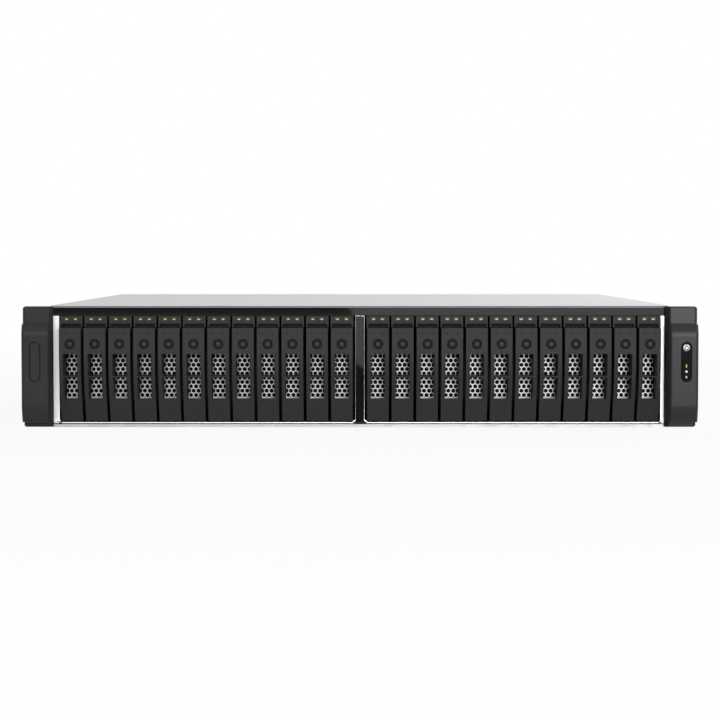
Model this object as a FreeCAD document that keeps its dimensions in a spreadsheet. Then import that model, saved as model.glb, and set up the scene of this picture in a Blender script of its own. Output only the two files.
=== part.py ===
import FreeCAD, Part
import math
import os
import Sketcher

# A 2U rackmount storage server with 24 upright drive trays.
# Millimetres. +X is to the right, +Y to the rear, +Z up.
# The origin is the centre of the chassis bottom.

BAYS_PER_BANK = 12
FANS = 2
SUPPLIES = 2
MEMORY_MODULES = 8
HEAT_SINK_FINS = 8
VENT_SLOTS = 12
SLOT_COVERS = 6
FAN_BLADES = 5
LAMPS = 3

# Round forms that repeat in every bay or sit out of sight are drawn with few sides.
BEND_SIDES = 4
PIN_SIDES = 8
LOCK_SIDES = 8
FAN_SIDES = 20
HUB_SIDES = 2 * FAN_BLADES

# Degrees.
BLADE_SLANT = 35.0

# Two lengths closer than this count as equal.
TOUCH = 0.01

SIZES = {
    # chassis and rack
    "rack_width": 482.6,
    "ear_width": 18.8,
    "chassis_height": 88.0,
    "chassis_depth": 500.0,
    "sheet": 1.2,
    "slip": 0.3,
    "rail_hem_height": 2.2,
    "rail_hem_depth": 3.0,
    "side_hole_radius": 2.2,
    "side_hole_front": 110.0,
    "side_hole_spacing": 260.0,
    # cover
    "lip_drop": 0.5,
    "lip_gap": 0.2,
    "cover_flange_drop": 6.0,
    "cover_travel": 20.0,
    # front frame, bezel and post
    "frame_floor": 4.1,
    "frame_gap": 0.7,
    "bezel_height": 5.1,
    "bezel_thick": 0.8,
    "strip_width": 5.0,
    "post_width": 5.5,
    "post_edge": 0.55,
    "foot_radius": 1.8,
    # bays
    "bank_gap": 8.25,
    "bank_margin": 5.975,
    "cage_depth": 150.0,
    "ceiling_gap": 0.9,
    "rib_width": 0.9,
    "rib_height": 1.8,
    # tray
    "tray_side_gap": 1.05,
    "tray_sheet": 2.2,
    "tray_rise": 0.7,
    "tray_top_gap": 0.8,
    "tray_end_gap": 11.2,
    "tray_wall_setback": 0.4,
    "shelf_height": 17.5,
    "shelf_reach": 11.2,
    "cheek_thick": 1.0,
    "cheek_radius": 2.6,
    "cap_side_gap": 0.65,
    "cap_top_gap": 0.4,
    "cap_height": 5.6,
    "cap_front": 4.2,
    "cap_leg": 1.3,
    "light_offset": 3.2,
    "light_drop": 2.0,
    "light_width": 2.8,
    "light_rise": 1.9,
    "light_proud": 0.2,
    "plate_thick": 0.8,
    "plate_margin": 1.1,
    "drive_side_gap": 0.4,
    "drive_top_gap": 0.85,
    "drive_length": 100.45,
    # lever
    "lever_side_gap": 1.05,
    "lever_slit": 2.8,
    "lever_front": 13.0,
    "lever_back": 1.0,
    "lever_bend_top": 52.4,
    "lever_bend_drop": 28.4,
    "lever_bend_back": 5.5,
    "lever_foot": 17.9,
    "knuckle_radius": 4.2,
    "knuckle_room": 0.8,
    "pin_radius": 1.2,
    "pin_fit": 0.15,
    "window_side": 2.8,
    "window_gap": 3.9,
    "window_upper": 15.8,
    "window_bar": 1.6,
    "window_bottom": 20.8,
    "lock_drop": 11.4,
    "lock_radius": 3.3,
    "lock_depth": 3.0,
    "lock_fit": 0.3,
    # backplane
    "board_thick": 1.6,
    "backplane_top_gap": 9.6,
    "socket_width": 5.0,
    "socket_bottom": 28.0,
    "socket_height": 34.0,
    "socket_depth": 5.25,
    "socket_fit": 0.3,
    # fans
    "fan_gap": 27.2,
    "fan_top_gap": 5.6,
    "fan_rim": 2.0,
    "fan_depth": 38.0,
    "fan_offset": 70.0,
    "spider_thick": 3.0,
    "spider_arm": 5.0,
    "hub_radius": 16.0,
    "hub_length": 26.0,
    "hub_gap": 0.5,
    "shaft_radius": 2.0,
    "shaft_length": 12.0,
    "blade_gap": 1.8,
    "blade_chord": 22.0,
    "blade_thick": 1.6,
    "blade_sink": 1.6,
    # mainboard
    "board_side_gap": 17.5,
    "board_supply_gap": 1.0,
    "board_fan_gap": 26.8,
    "mainboard_setback": 4.0,
    "mainboard_rise": 6.5,
    "standoff_side": 7.0,
    "standoff_inset": 12.0,
    "sink_side": 90.0,
    "sink_base": 6.0,
    "sink_height": 52.0,
    "fin_thick": 2.0,
    "module_length": 133.0,
    "module_thick": 4.0,
    "module_height": 31.0,
    "module_pitch": 9.5,
    "module_gap": 12.0,
    # rear ports and slot covers
    "port_wall": 1.5,
    "port_depth": 18.0,
    "port_spacing": 21.0,
    "port_proud": 0.8,
    "port_face_rise": 12.7,
    "lan_width": 11.8,
    "lan_height": 8.6,
    "fibre_width": 14.2,
    "fibre_height": 9.0,
    "usb_width": 13.2,
    "usb_height": 5.8,
    "cover_pitch": 20.3,
    "cover_gap": 1.9,
    "cover_end": 4.0,
    # rear vents
    "vent_width": 3.0,
    "vent_height": 44.0,
    "vent_pitch": 10.0,
    "vent_bottom": 20.0,
    "vent_margin": 24.0,
    # power supplies
    "supply_width": 73.5,
    "supply_top_gap": 4.0,
    "supply_length": 185.0,
    "supply_side_gap": 2.5,
    "supply_wall": 1.5,
    "supply_rear_block": 40.0,
    "inlet_width": 24.5,
    "inlet_height": 17.0,
    "inlet_depth": 16.0,
    "inlet_margin": 7.0,
    "handle_width": 34.0,
    "handle_reach": 22.0,
    "handle_bar": 4.0,
    "handle_height": 9.0,
    "handle_margin": 5.0,
    # rack ears
    "ear_bottom": 0.8,
    "ear_top_gap": 0.6,
    "ear_plate": 14.0,
    "ear_grip": 22.0,
    "ear_foot": 9.0,
    "plate_drop": 12.4,
    "grip_drop": 6.2,
    "grip_bottom": 14.4,
    "foot_top": 4.8,
    "ear_overlap": 2.6,
    "ear_edge": 1.8,
    "ear_chamfer": 2.6,
    "ear_soft": 3.0,
    "flange_thick": 2.0,
    "flange_leg": 60.0,
    "leg_thick": 1.4,
    "rack_hole_end": 5.9,
    "rack_hole_edge": 8.75,
    "rack_hole_radius": 2.75,
    "rack_screw_room": 6.0,
    "pill_drop": 20.7,
    "pill_length": 28.9,
    "pill_radius": 4.05,
    "pill_depth": 2.0,
    "pill_inset": 0.4,
    "pill_groove": 0.5,
    "lamp_width": 2.4,
    "lamp_rise": 1.4,
    "lamp_drop": 2.9,
    "lamp_pitch": 3.95,
    "lamp_proud": 0.2,
    # power button
    "button_rise": 10.2,
    "button_radius": 2.8,
    "button_fit": 0.3,
    "button_length": 5.0,
    "button_dome": 0.9,
    "button_travel": 1.5,
}

doc = FreeCAD.newDocument("storage_server")
sheet = doc.addObject("Spreadsheet::Sheet", "sizes")
for row, (alias, number) in enumerate(SIZES.items(), start=1):
    sheet.set("A%d" % row, alias)
    sheet.set("B%d" % row, str(number))
    sheet.setAlias("B%d" % row, alias)
doc.recompute()


class Size:
    """A length that carries its number and the sheet formula it comes from."""

    def __init__(self, value, formula):
        self.value = value
        self.formula = formula

    def joined(self, sign, other, value):
        return Size(value, "(%s %s %s)" % (self.formula, sign, as_size(other).formula))

    def __add__(self, other):
        return self.joined("+", other, self.value + as_size(other).value)

    def __sub__(self, other):
        return self.joined("-", other, self.value - as_size(other).value)

    def __mul__(self, other):
        return self.joined("*", other, self.value * as_size(other).value)

    def __truediv__(self, other):
        return self.joined("/", other, self.value / as_size(other).value)

    def __radd__(self, other):
        return as_size(other) + self

    def __rsub__(self, other):
        return as_size(other) - self

    def __rmul__(self, other):
        return as_size(other) * self

    def __neg__(self):
        return as_size(0.0) - self

    def root(self):
        return Size(math.sqrt(self.value), "sqrt(%s)" % self.formula)


def as_size(number):
    """A Size as it is, or a plain number as a Size."""
    if isinstance(number, Size):
        return number
    return Size(float(number), "(%r)" % float(number))


def size(alias):
    """The named cell of the sheet."""
    return Size(float(sheet.get(alias)), "sizes.%s" % alias)


class Corner:
    """A corner of an outline. With a centre, an arc leaves it for the next corner."""

    def __init__(self, x, y, centre=None, ccw=True):
        self.x = as_size(x)
        self.y = as_size(y)
        self.centre = centre
        self.ccw = ccw


def outline(*points):
    """Straight-sided outline from (x, y) pairs."""
    return [Corner(x, y) for x, y in points]


def rectangle(left, low, right, high):
    return outline((left, low), (right, low), (right, high), (left, high))


def pill(x, y, length, radius):
    """Upright outline with straight sides and round ends."""
    reach = length / 2 - radius
    return [
        Corner(x + radius, y - reach),
        Corner(x + radius, y + reach, (x, y + reach)),
        Corner(x - radius, y + reach),
        Corner(x - radius, y - reach, (x, y - reach)),
    ]


class Round:
    """A full circle in a sketch."""

    def __init__(self, x, y, radius):
        self.x = as_size(x)
        self.y = as_size(y)
        self.radius = as_size(radius)


def hold(sketch, kind, geometry, point, target):
    """Ties one coordinate of a sketch point to its formula."""
    rule = Sketcher.Constraint(kind, -1, 1, geometry, point, target.value)
    index = sketch.addConstraint(rule)
    sketch.setExpression("Constraints[%d]" % index, target.formula)


def draw_circle(sketch, circle):
    centre = FreeCAD.Vector(circle.x.value, circle.y.value, 0)
    up = FreeCAD.Vector(0, 0, 1)
    index = sketch.addGeometry(Part.Circle(centre, up, circle.radius.value))
    hold(sketch, "DistanceX", index, 3, circle.x)
    hold(sketch, "DistanceY", index, 3, circle.y)
    rule = sketch.addConstraint(Sketcher.Constraint("Radius", index, circle.radius.value))
    sketch.setExpression("Constraints[%d]" % rule, circle.radius.formula)


def arc_edge(start, end, centre, ccw):
    """Circle arc between two points, always turning left from its first end."""
    middle = FreeCAD.Vector(centre[0], centre[1], 0)
    first, last = (start, end) if ccw else (end, start)
    begin = math.atan2(first.y - middle.y, first.x - middle.x)
    finish = math.atan2(last.y - middle.y, last.x - middle.x)
    circle = Part.Circle(middle, FreeCAD.Vector(0, 0, 1), (first - middle).Length)
    return Part.ArcOfCircle(circle, begin, finish)


def draw_outline(sketch, corners):
    """Closed chain of lines and arcs with every corner tied to the sheet."""
    spots = [FreeCAD.Vector(c.x.value, c.y.value, 0) for c in corners]
    ends = []
    for number, corner in enumerate(corners):
        start = spots[number]
        end = spots[(number + 1) % len(spots)]
        if corner.centre is None:
            index = sketch.addGeometry(Part.LineSegment(start, end))
            ends.append((index, 1, 2))
            continue
        centre = [as_size(c) for c in corner.centre]
        edge = arc_edge(start, end, [c.value for c in centre], corner.ccw)
        index = sketch.addGeometry(edge)
        ends.append((index, 1, 2) if corner.ccw else (index, 2, 1))
        chord = end - start
        if abs(chord.x) > abs(chord.y):
            hold(sketch, "DistanceY", index, 3, centre[1])
        else:
            hold(sketch, "DistanceX", index, 3, centre[0])
    for number, corner in enumerate(corners):
        index, first = ends[number][:2]
        before, last = ends[number - 1][::2]
        sketch.addConstraint(Sketcher.Constraint("Coincident", before, last, index, first))
        hold(sketch, "DistanceX", index, first, corner.x)
        hold(sketch, "DistanceY", index, first, corner.y)


# The origin plane square to each axis, and which way that plane's normal points.
PLANES = {"X": ("YZ_Plane", 1), "Y": ("XZ_Plane", -1), "Z": ("XY_Plane", 1)}


def new_body(name):
    return doc.addObject("PartDesign::Body", name)


def origin_part(body, role):
    return [part for part in body.Origin.OriginFeatures if part.Role == role][0]


def extrude(body, kind, axis, start, end, *shapes):
    """A Pad or Pocket of the shapes from start to end along an axis."""
    role, sign = PLANES[axis]
    start = as_size(start)
    sketch = body.newObject("Sketcher::SketchObject", "outline")
    sketch.AttachmentSupport = [(origin_part(body, role), "")]
    sketch.MapMode = "FlatFace"
    sketch.setExpression("AttachmentOffset.Base.z", (start * sign).formula)
    for shape in shapes:
        if isinstance(shape, Round):
            draw_circle(sketch, shape)
        else:
            draw_outline(sketch, shape)
    feature = body.newObject("PartDesign::" + kind, kind.lower())
    feature.Profile = sketch
    feature.setExpression("Length", (as_size(end) - start).formula)
    feature.Reversed = (kind == "Pad") != (sign > 0)
    return feature


def pad(body, axis, start, end, *shapes):
    return extrude(body, "Pad", axis, start, end, *shapes)


def pocket(body, axis, start, end, *shapes):
    return extrude(body, "Pocket", axis, start, end, *shapes)


def repeat(body, feature, axis_role, count, pitch):
    """Copies of one feature in a row along an origin axis."""
    doc.recompute()
    row = body.newObject("PartDesign::LinearPattern", "row")
    row.Originals = [feature]
    row.Direction = (origin_part(body, axis_role), [""])
    row.setExpression("Length", (pitch * (count - 1)).formula)
    row.Occurrences = count
    body.Tip = row
    return row


def dress(body, kind, base, radius, wanted):
    """A Fillet or Chamfer on the base's edges that pass the test."""
    doc.recompute()
    names = []
    for number, edge in enumerate(base.Shape.Edges, start=1):
        if wanted(edge):
            names.append("Edge%d" % number)
    feature = body.newObject("PartDesign::" + kind, kind.lower())
    feature.Base = (base, names)
    feature.setExpression("Radius" if kind == "Fillet" else "Size", radius.formula)
    body.Tip = feature
    return feature


def spans(edge, axis):
    """True for a straight edge that runs along the axis."""
    box = edge.BoundBox
    lengths = {"X": box.XLength, "Y": box.YLength, "Z": box.ZLength}
    others = [value for key, value in lengths.items() if key != axis]
    return lengths[axis] > TOUCH and max(others) < TOUCH


def near(first, second):
    return abs(first - as_size(second).value) < TOUCH


def node(label, *pieces):
    """One named sub-part: a single piece, or several kept as separate solids."""
    if len(pieces) == 1:
        pieces[0].Label = label
        return pieces[0]
    group = doc.addObject("Part::Compound", label)
    group.Links = list(pieces)
    group.Label = label
    return group


def copy_at(master, label, x, z=0.0):
    """A linked copy of a sub-part, set beside it along X and above it along Z."""
    link = doc.addObject("App::Link", label)
    link.LinkedObject = master
    link.Label = label
    link.setExpression("Placement.Base.x", as_size(x).formula)
    link.setExpression("Placement.Base.z", as_size(z).formula)
    return link


# Planes and widths that several pieces share.
SHEET = size("sheet")
SLIP = size("slip")
RACK_HALF = size("rack_width") / 2
HALF = RACK_HALF - size("ear_width")
FRONT = -(size("chassis_depth") / 2)
REAR = size("chassis_depth") / 2
COVER_UNDER = size("chassis_height") - SHEET
TUB_FRONT = FRONT + SHEET
FRAME_BOTTOM = size("rail_hem_height") + size("frame_gap")
BEZEL_TOP = COVER_UNDER - size("lip_drop") - size("lip_gap")
BEZEL_BOTTOM = BEZEL_TOP - size("bezel_height")
OPENING_TOP = BEZEL_BOTTOM - SLIP

BAY_PITCH = (HALF - size("bank_gap") / 2 - size("bank_margin")) / BAYS_PER_BANK
TRAY_HALF = BAY_PITCH / 2 - size("tray_side_gap")
TRAY_LOW = size("frame_floor") + size("tray_rise")
TRAY_TOP = OPENING_TOP - size("tray_top_gap")
CAP_TOP = OPENING_TOP - size("cap_top_gap")
CAP_BOTTOM = CAP_TOP - size("cap_height")
LEVER_HALF = BAY_PITCH / 2 - size("lever_side_gap")
LEVER_TOP = CAP_BOTTOM - size("lever_slit")
LOCK_HEIGHT = LEVER_TOP - size("lock_drop")
WINDOW_HALF = LEVER_HALF - size("window_side")
WINDOW_TOP = LOCK_HEIGHT - size("lock_radius") - size("window_gap")

BACKPLANE = TUB_FRONT + size("cage_depth")
DRIVE_END = BACKPLANE - size("socket_depth") - size("socket_fit")
FAN_FRONT = BACKPLANE + size("board_thick") + size("fan_gap")
FAN_BACK = FAN_FRONT + size("fan_depth")
FAN_HALF = (COVER_UNDER - SHEET - size("fan_top_gap")) / 2
FAN_BORE = FAN_HALF - size("fan_rim")
FAN_HEIGHT = SHEET + FAN_HALF
BOARD_TOP = SHEET + size("mainboard_rise") + size("board_thick")

SUPPLY_HEIGHT = (COVER_UNDER - SHEET * 2 - SLIP * 4 - size("supply_top_gap")) / 2
SUPPLY_LEFT = -HALF + SHEET + size("supply_side_gap")
SUPPLY_RIGHT = SUPPLY_LEFT + size("supply_width")
SUPPLY_FRONT = REAR - size("supply_length")
SUPPLY_BOTTOM = SHEET + SLIP
SUPPLY_STEP = SUPPLY_HEIGHT + SHEET + SLIP * 2

PORT_KINDS = ["lan", "lan", "fibre", "fibre", "usb", "usb"]
PORT_Z = BOARD_TOP + size("port_wall")
PORT_FACE_TOP = BOARD_TOP + size("port_face_rise")
PORTS_LEFT = SUPPLY_RIGHT + SLIP + SHEET
PORTS_RIGHT = PORTS_LEFT + SLIP + size("port_spacing") * len(PORT_KINDS)
REAR_TOP = COVER_UNDER - SHEET

EAR_TOP = size("chassis_height") - size("ear_top_gap")
PLATE_BOTTOM = EAR_TOP - size("plate_drop")
GRIP_TOP = PLATE_BOTTOM - size("grip_drop")
GRIP = FRONT - size("ear_grip")
PILL_HEIGHT = GRIP_TOP - size("pill_drop")
BUTTON_HEIGHT = PILL_HEIGHT + size("button_rise")
HOLE_COLUMN = RACK_HALF - size("rack_hole_edge")


def ngon(x, y, radius, sides):
    """Regular outline whose corners lie on a circle."""
    corners = []
    for number in range(sides):
        angle = 2 * math.pi * (number + 0.5) / sides
        corners.append(Corner(x + radius * math.cos(angle), y + radius * math.sin(angle)))
    return corners


def around(radius, sides):
    """Corner radius of a regular outline that a circle of this radius fits inside."""
    return radius / math.cos(math.pi / sides)


def rack_hole_heights():
    return [size("rack_hole_end"), size("chassis_height") - size("rack_hole_end")]


def make_tub():
    """Folded floor and walls, power supply bay and rear wall with its vents."""
    body = new_body("tub")
    inner = HALF - SHEET
    pad(body, "Y", TUB_FRONT, REAR, outline(
        (-HALF, 0), (HALF, 0), (HALF, COVER_UNDER), (inner, COVER_UNDER), (inner, SHEET),
        (-inner, SHEET), (-inner, COVER_UNDER), (-HALF, COVER_UNDER)))
    pad(body, "Y", FRONT, FRONT + size("rail_hem_depth"),
        rectangle(-HALF, 0, HALF, size("rail_hem_height")))
    pad(body, "Y", REAR - SHEET, REAR, rectangle(-inner, 0, inner, REAR_TOP))
    wall = SUPPLY_RIGHT + SLIP
    shelf = SUPPLY_BOTTOM + SUPPLY_HEIGHT + SLIP
    pad(body, "Y", SUPPLY_FRONT, REAR,
        rectangle(wall, 0, wall + SHEET, SUPPLY_BOTTOM + SUPPLY_STEP * SUPPLIES))
    pad(body, "Y", SUPPLY_FRONT, REAR,
        rectangle(-HALF, shelf, wall + SHEET, shelf + SHEET))
    for number in range(SUPPLIES):
        low = SUPPLY_BOTTOM + SUPPLY_STEP * number
        pocket(body, "Y", REAR - SHEET, REAR, rectangle(
            SUPPLY_LEFT - SLIP, low - SLIP, wall, low + SUPPLY_HEIGHT + SLIP))
    pocket(body, "Y", REAR - SHEET, REAR,
           rectangle(PORTS_LEFT, SHEET, PORTS_RIGHT + SLIP, REAR_TOP))
    left = PORTS_RIGHT + size("vent_margin")
    low = size("vent_bottom")
    vent = pocket(body, "Y", REAR - SHEET, REAR, rectangle(
        left, low, left + size("vent_width"), low + size("vent_height")))
    repeat(body, vent, "X_Axis", VENT_SLOTS, size("vent_pitch"))
    middle = size("chassis_height") / 2
    first = FRONT + size("side_hole_front")
    holes = [Round(y, middle, size("side_hole_radius"))
             for y in (first, first + size("side_hole_spacing"))]
    pocket(body, "X", -HALF, -inner, *holes)
    pocket(body, "X", inner, HALF, *holes)
    return node("chassis_tub", body)


def make_cover():
    """Flat top with a front lip and two side flanges that run inside the walls."""
    body = new_body("cover")
    pad(body, "Z", COVER_UNDER, size("chassis_height"), rectangle(-HALF, FRONT, HALF, REAR))
    inner = HALF - SHEET - SLIP
    pad(body, "Y", FRONT, TUB_FRONT,
        rectangle(-inner, COVER_UNDER - size("lip_drop"), inner, COVER_UNDER))
    low = COVER_UNDER - size("cover_flange_drop")
    back = SUPPLY_FRONT - SLIP - size("cover_travel")
    pad(body, "Y", FAN_FRONT, back,
        rectangle(-inner, low, -inner + SHEET, COVER_UNDER),
        rectangle(inner - SHEET, low, inner, COVER_UNDER))
    return node("top_cover", body)


def frame_opening(side):
    """One bank's opening, with round feet where it meets the bottom rail."""
    near_post = size("post_width") / 2 + size("post_edge")
    far = HALF - size("strip_width")
    low = size("frame_floor")
    foot = size("foot_radius")
    left, right = (near_post, far) if side > 0 else (-far, -near_post)
    return [
        Corner(left + foot, low),
        Corner(right - foot, low, (right - foot, low + foot)),
        Corner(right, low + foot),
        Corner(right, OPENING_TOP),
        Corner(left, OPENING_TOP),
        Corner(left, low + foot, (left + foot, low + foot)),
    ]


def make_cage_front():
    """Bright front frame, glossy bezel strip and glossy post insert."""
    frame = new_body("front_frame")
    pad(frame, "Y", FRONT, TUB_FRONT,
        rectangle(-HALF, FRAME_BOTTOM, HALF, BEZEL_TOP),
        frame_opening(-1), frame_opening(1))
    bezel = new_body("bezel_strip")
    pad(bezel, "Y", FRONT - size("bezel_thick"), FRONT,
        rectangle(-HALF, BEZEL_BOTTOM, HALF - size("ear_overlap") - SLIP, BEZEL_TOP))
    insert = new_body("post_insert")
    half = size("post_width") / 2
    pad(insert, "Y", FRONT - size("bezel_thick"), FRONT,
        rectangle(-half, size("frame_floor"), half, OPENING_TOP))
    return [frame, bezel, insert]


def bank_starts():
    """Left edge of each bank of bays."""
    return [size("bank_gap") / 2, -(size("bank_gap") / 2) - BAY_PITCH * BAYS_PER_BANK]


def make_cage_shell():
    """Box around the bays, with a guide rib between every two trays."""
    body = new_body("cage_shell")
    outer = HALF - SHEET - SLIP
    floor = size("frame_floor")
    ceiling = OPENING_TOP + size("ceiling_gap")
    pad(body, "Y", TUB_FRONT, BACKPLANE,
        rectangle(-outer, FRAME_BOTTOM, outer, ceiling + SHEET),
        rectangle(-outer + SHEET, floor, outer - SHEET, ceiling))
    half = size("rib_width") / 2
    for start in bank_starts():
        rib = pad(body, "Y", TUB_FRONT + size("shelf_reach"), BACKPLANE,
                  rectangle(start - half, floor, start + half, floor + size("rib_height")))
        repeat(body, rib, "X_Axis", BAYS_PER_BANK + 1, BAY_PITCH)
    return body


def fan_centre(number):
    return size("fan_offset") * (2 * number - (FANS - 1))


def make_fan_frame(x, number):
    """Square fan housing with a round bore, a spider and the shaft at its back."""
    body = new_body("fan_frame_%d" % number)
    z = FAN_HEIGHT
    spider = FAN_BACK - size("spider_thick")
    pad(body, "Y", FAN_FRONT, FAN_BACK,
        rectangle(x - FAN_HALF, z - FAN_HALF, x + FAN_HALF, z + FAN_HALF),
        ngon(x, z, FAN_BORE, FAN_SIDES))
    arm = size("spider_arm") / 2
    pad(body, "Y", spider, FAN_BACK, rectangle(x - FAN_HALF, z - arm, x + FAN_HALF, z + arm))
    pad(body, "Y", spider, FAN_BACK, rectangle(x - arm, z - FAN_HALF, x + arm, z + FAN_HALF))
    pad(body, "Y", spider, FAN_BACK, ngon(x, z, size("hub_radius"), HUB_SIDES))
    pad(body, "Y", spider - size("shaft_length"), FAN_BACK,
        ngon(x, z, size("shaft_radius"), PIN_SIDES))
    return body


def make_fan_rotor(x, number):
    """Hub on the shaft with slanted blades."""
    body = new_body("fan_hub_%d" % number)
    z = FAN_HEIGHT
    back = FAN_BACK - size("spider_thick") - size("hub_gap")
    front = back - size("hub_length")
    pad(body, "Y", front, back, ngon(x, z, size("hub_radius"), HUB_SIDES))
    pocket(body, "Y", back - size("shaft_length"), back,
           ngon(x, z, around(size("shaft_radius") + SLIP, PIN_SIDES), PIN_SIDES))
    centre = FreeCAD.Vector(x.value, (front + size("hub_length") / 2).value, z.value)
    pieces = [body]
    root = size("hub_radius") - size("blade_sink")
    for turn in range(FAN_BLADES):
        blade = doc.addObject("Part::Box", "blade")
        blade.setExpression("Length", size("blade_thick").formula)
        blade.setExpression("Width", size("blade_chord").formula)
        blade.setExpression("Height", (FAN_BORE - size("blade_gap") - root).formula)
        slant = FreeCAD.Rotation(FreeCAD.Vector(0, 0, 1), BLADE_SLANT)
        spin = FreeCAD.Rotation(FreeCAD.Vector(0, 1, 0), 360.0 * turn / FAN_BLADES)
        corner = FreeCAD.Vector(
            -size("blade_thick").value / 2, -size("blade_chord").value / 2, root.value)
        way = spin.multiply(slant)
        blade.Placement = FreeCAD.Placement(centre + way.multVec(corner), way)
        pieces.append(blade)
    rotor = doc.addObject("Part::MultiFuse", "fan_rotor_%d" % number)
    rotor.Shapes = pieces
    return node("fan_rotor_%d" % number, rotor)


def make_tray():
    """Tray of one bay: frame with its hinge pin, cap over the lever, two lights, plate and drive."""
    half = TRAY_HALF
    wall = size("tray_sheet")
    face = FRONT + size("tray_wall_setback")
    low = TRAY_LOW
    top = TRAY_TOP
    shelf = size("shelf_height")
    reach = face + size("shelf_reach")
    back = BACKPLANE - size("tray_end_gap")
    frame = new_body("tray_frame")
    pad(frame, "X", -half, half, outline(
        (face, shelf), (reach - wall, shelf), (reach - wall, low), (back, low),
        (back, low + wall), (reach, low + wall), (reach, shelf + wall), (face + wall, shelf + wall),
        (face + wall, top - wall), (back, top - wall), (back, top), (face, top)))
    pocket(frame, "Y", face, face + wall,
           rectangle(-WINDOW_HALF, size("window_bottom"), WINDOW_HALF, WINDOW_TOP))
    cheek = size("cheek_thick")
    pivot_y, pivot_z = lever_pivot()
    nose = size("cheek_radius")
    tab = outline(
        (pivot_y - nose, pivot_z), (pivot_y, pivot_z - nose),
        (reach - wall, pivot_z - nose), (reach - wall, shelf), (pivot_y - nose, shelf))
    pad(frame, "X", -half, -half + cheek, tab)
    pad(frame, "X", half - cheek, half, tab)
    pad(frame, "X", -half, half, ngon(pivot_y, pivot_z, size("pin_radius"), PIN_SIDES))
    cap = new_body("tray_cap")
    cap_half = BAY_PITCH / 2 - size("cap_side_gap")
    cap_face = FRONT - size("cap_front")
    slit = cap_half - size("cap_leg")
    leg_end = LEVER_TOP + SLIP
    pad(cap, "Y", cap_face, face, outline(
        (-cap_half, leg_end), (-slit, leg_end), (-slit, CAP_BOTTOM), (slit, CAP_BOTTOM),
        (slit, leg_end), (cap_half, leg_end), (cap_half, CAP_TOP), (-cap_half, CAP_TOP)))
    lights = []
    for side in (-1, 1):
        middle = size("light_offset") * side
        edge = size("light_width") / 2
        high = CAP_TOP - size("light_drop") + size("light_rise") / 2
        light = new_body("light_pipe")
        pad(light, "Y", cap_face - size("light_proud"), cap_face,
            rectangle(middle - edge, high - size("light_rise"), middle + edge, high))
        lights.append(light)
    plate = new_body("vent_plate")
    margin = size("plate_margin")
    pad(plate, "Y", face + wall, face + wall + size("plate_thick"),
        rectangle(-WINDOW_HALF - margin, shelf + wall, WINDOW_HALF + margin, WINDOW_TOP + margin))
    drive = new_body("drive")
    thick = half - size("drive_side_gap")
    pad(drive, "Y", DRIVE_END - size("drive_length"), DRIVE_END,
        rectangle(-thick, low + wall, thick, top - wall - size("drive_top_gap")))
    return node("tray_of_one_bay", frame, cap, plate, drive, *lights)


def lever_bend():
    """Radius of the lever's bend, and the sine and cosine of its foot's slope."""
    drop = size("lever_bend_drop")
    back = size("lever_bend_back")
    radius = (drop * drop + back * back) / (back * 2)
    return radius, drop / radius, (radius - back) / radius


def lever_foot_end():
    """Where the lever's straight foot meets its knuckle."""
    sine, cosine = lever_bend()[1:]
    y = FRONT - size("lever_front") + size("lever_bend_back") + size("lever_foot") * sine
    z = size("lever_bend_top") - size("lever_bend_drop") - size("lever_foot") * cosine
    return y, z


def lever_pivot():
    """The hinge axis: the centre of the knuckle, square to the foot's end."""
    sine, cosine = lever_bend()[1:]
    y, z = lever_foot_end()
    return y + size("knuckle_radius") * cosine, z + size("knuckle_radius") * sine


def lever_outline():
    """Side view: flat face, bend, straight foot, knuckle and web."""
    radius, sine, cosine = lever_bend()
    face = FRONT - size("lever_front")
    back = FRONT - size("lever_back")
    bend = size("lever_bend_top")
    pivot_y, pivot_z = lever_pivot()
    knuckle = size("knuckle_radius")
    # The knuckle goes round the pivot in flats, from the foot's end to the web behind it.
    turns = []
    for degrees in (0, 60, 120, 180):
        along = math.cos(math.radians(degrees))
        across = math.sin(math.radians(degrees))
        turns.append(Corner(pivot_y - knuckle * (cosine * along - sine * across),
                            pivot_z - knuckle * (sine * along + cosine * across)))
    # The web leaves the knuckle 60 degrees above the horizontal.
    across, up = 0.5, math.sqrt(0.75)
    web_y = pivot_y + knuckle * across
    web_z = pivot_z + knuckle * up
    rise = (web_y - back) / up * across
    # The bend's corners lie on its circle, at even drops from the flat face to the foot.
    curve = []
    for number in range(BEND_SIDES + 1):
        drop = size("lever_bend_drop") * (number / BEND_SIDES)
        inward = radius - (radius * radius - drop * drop).root()
        curve.append(Corner(face + inward, bend - drop))
    return [Corner(face, LEVER_TOP)] + curve + turns + [
        Corner(web_y, web_z),
        Corner(back, web_z + rise),
        Corner(back, LEVER_TOP),
    ]


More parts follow.
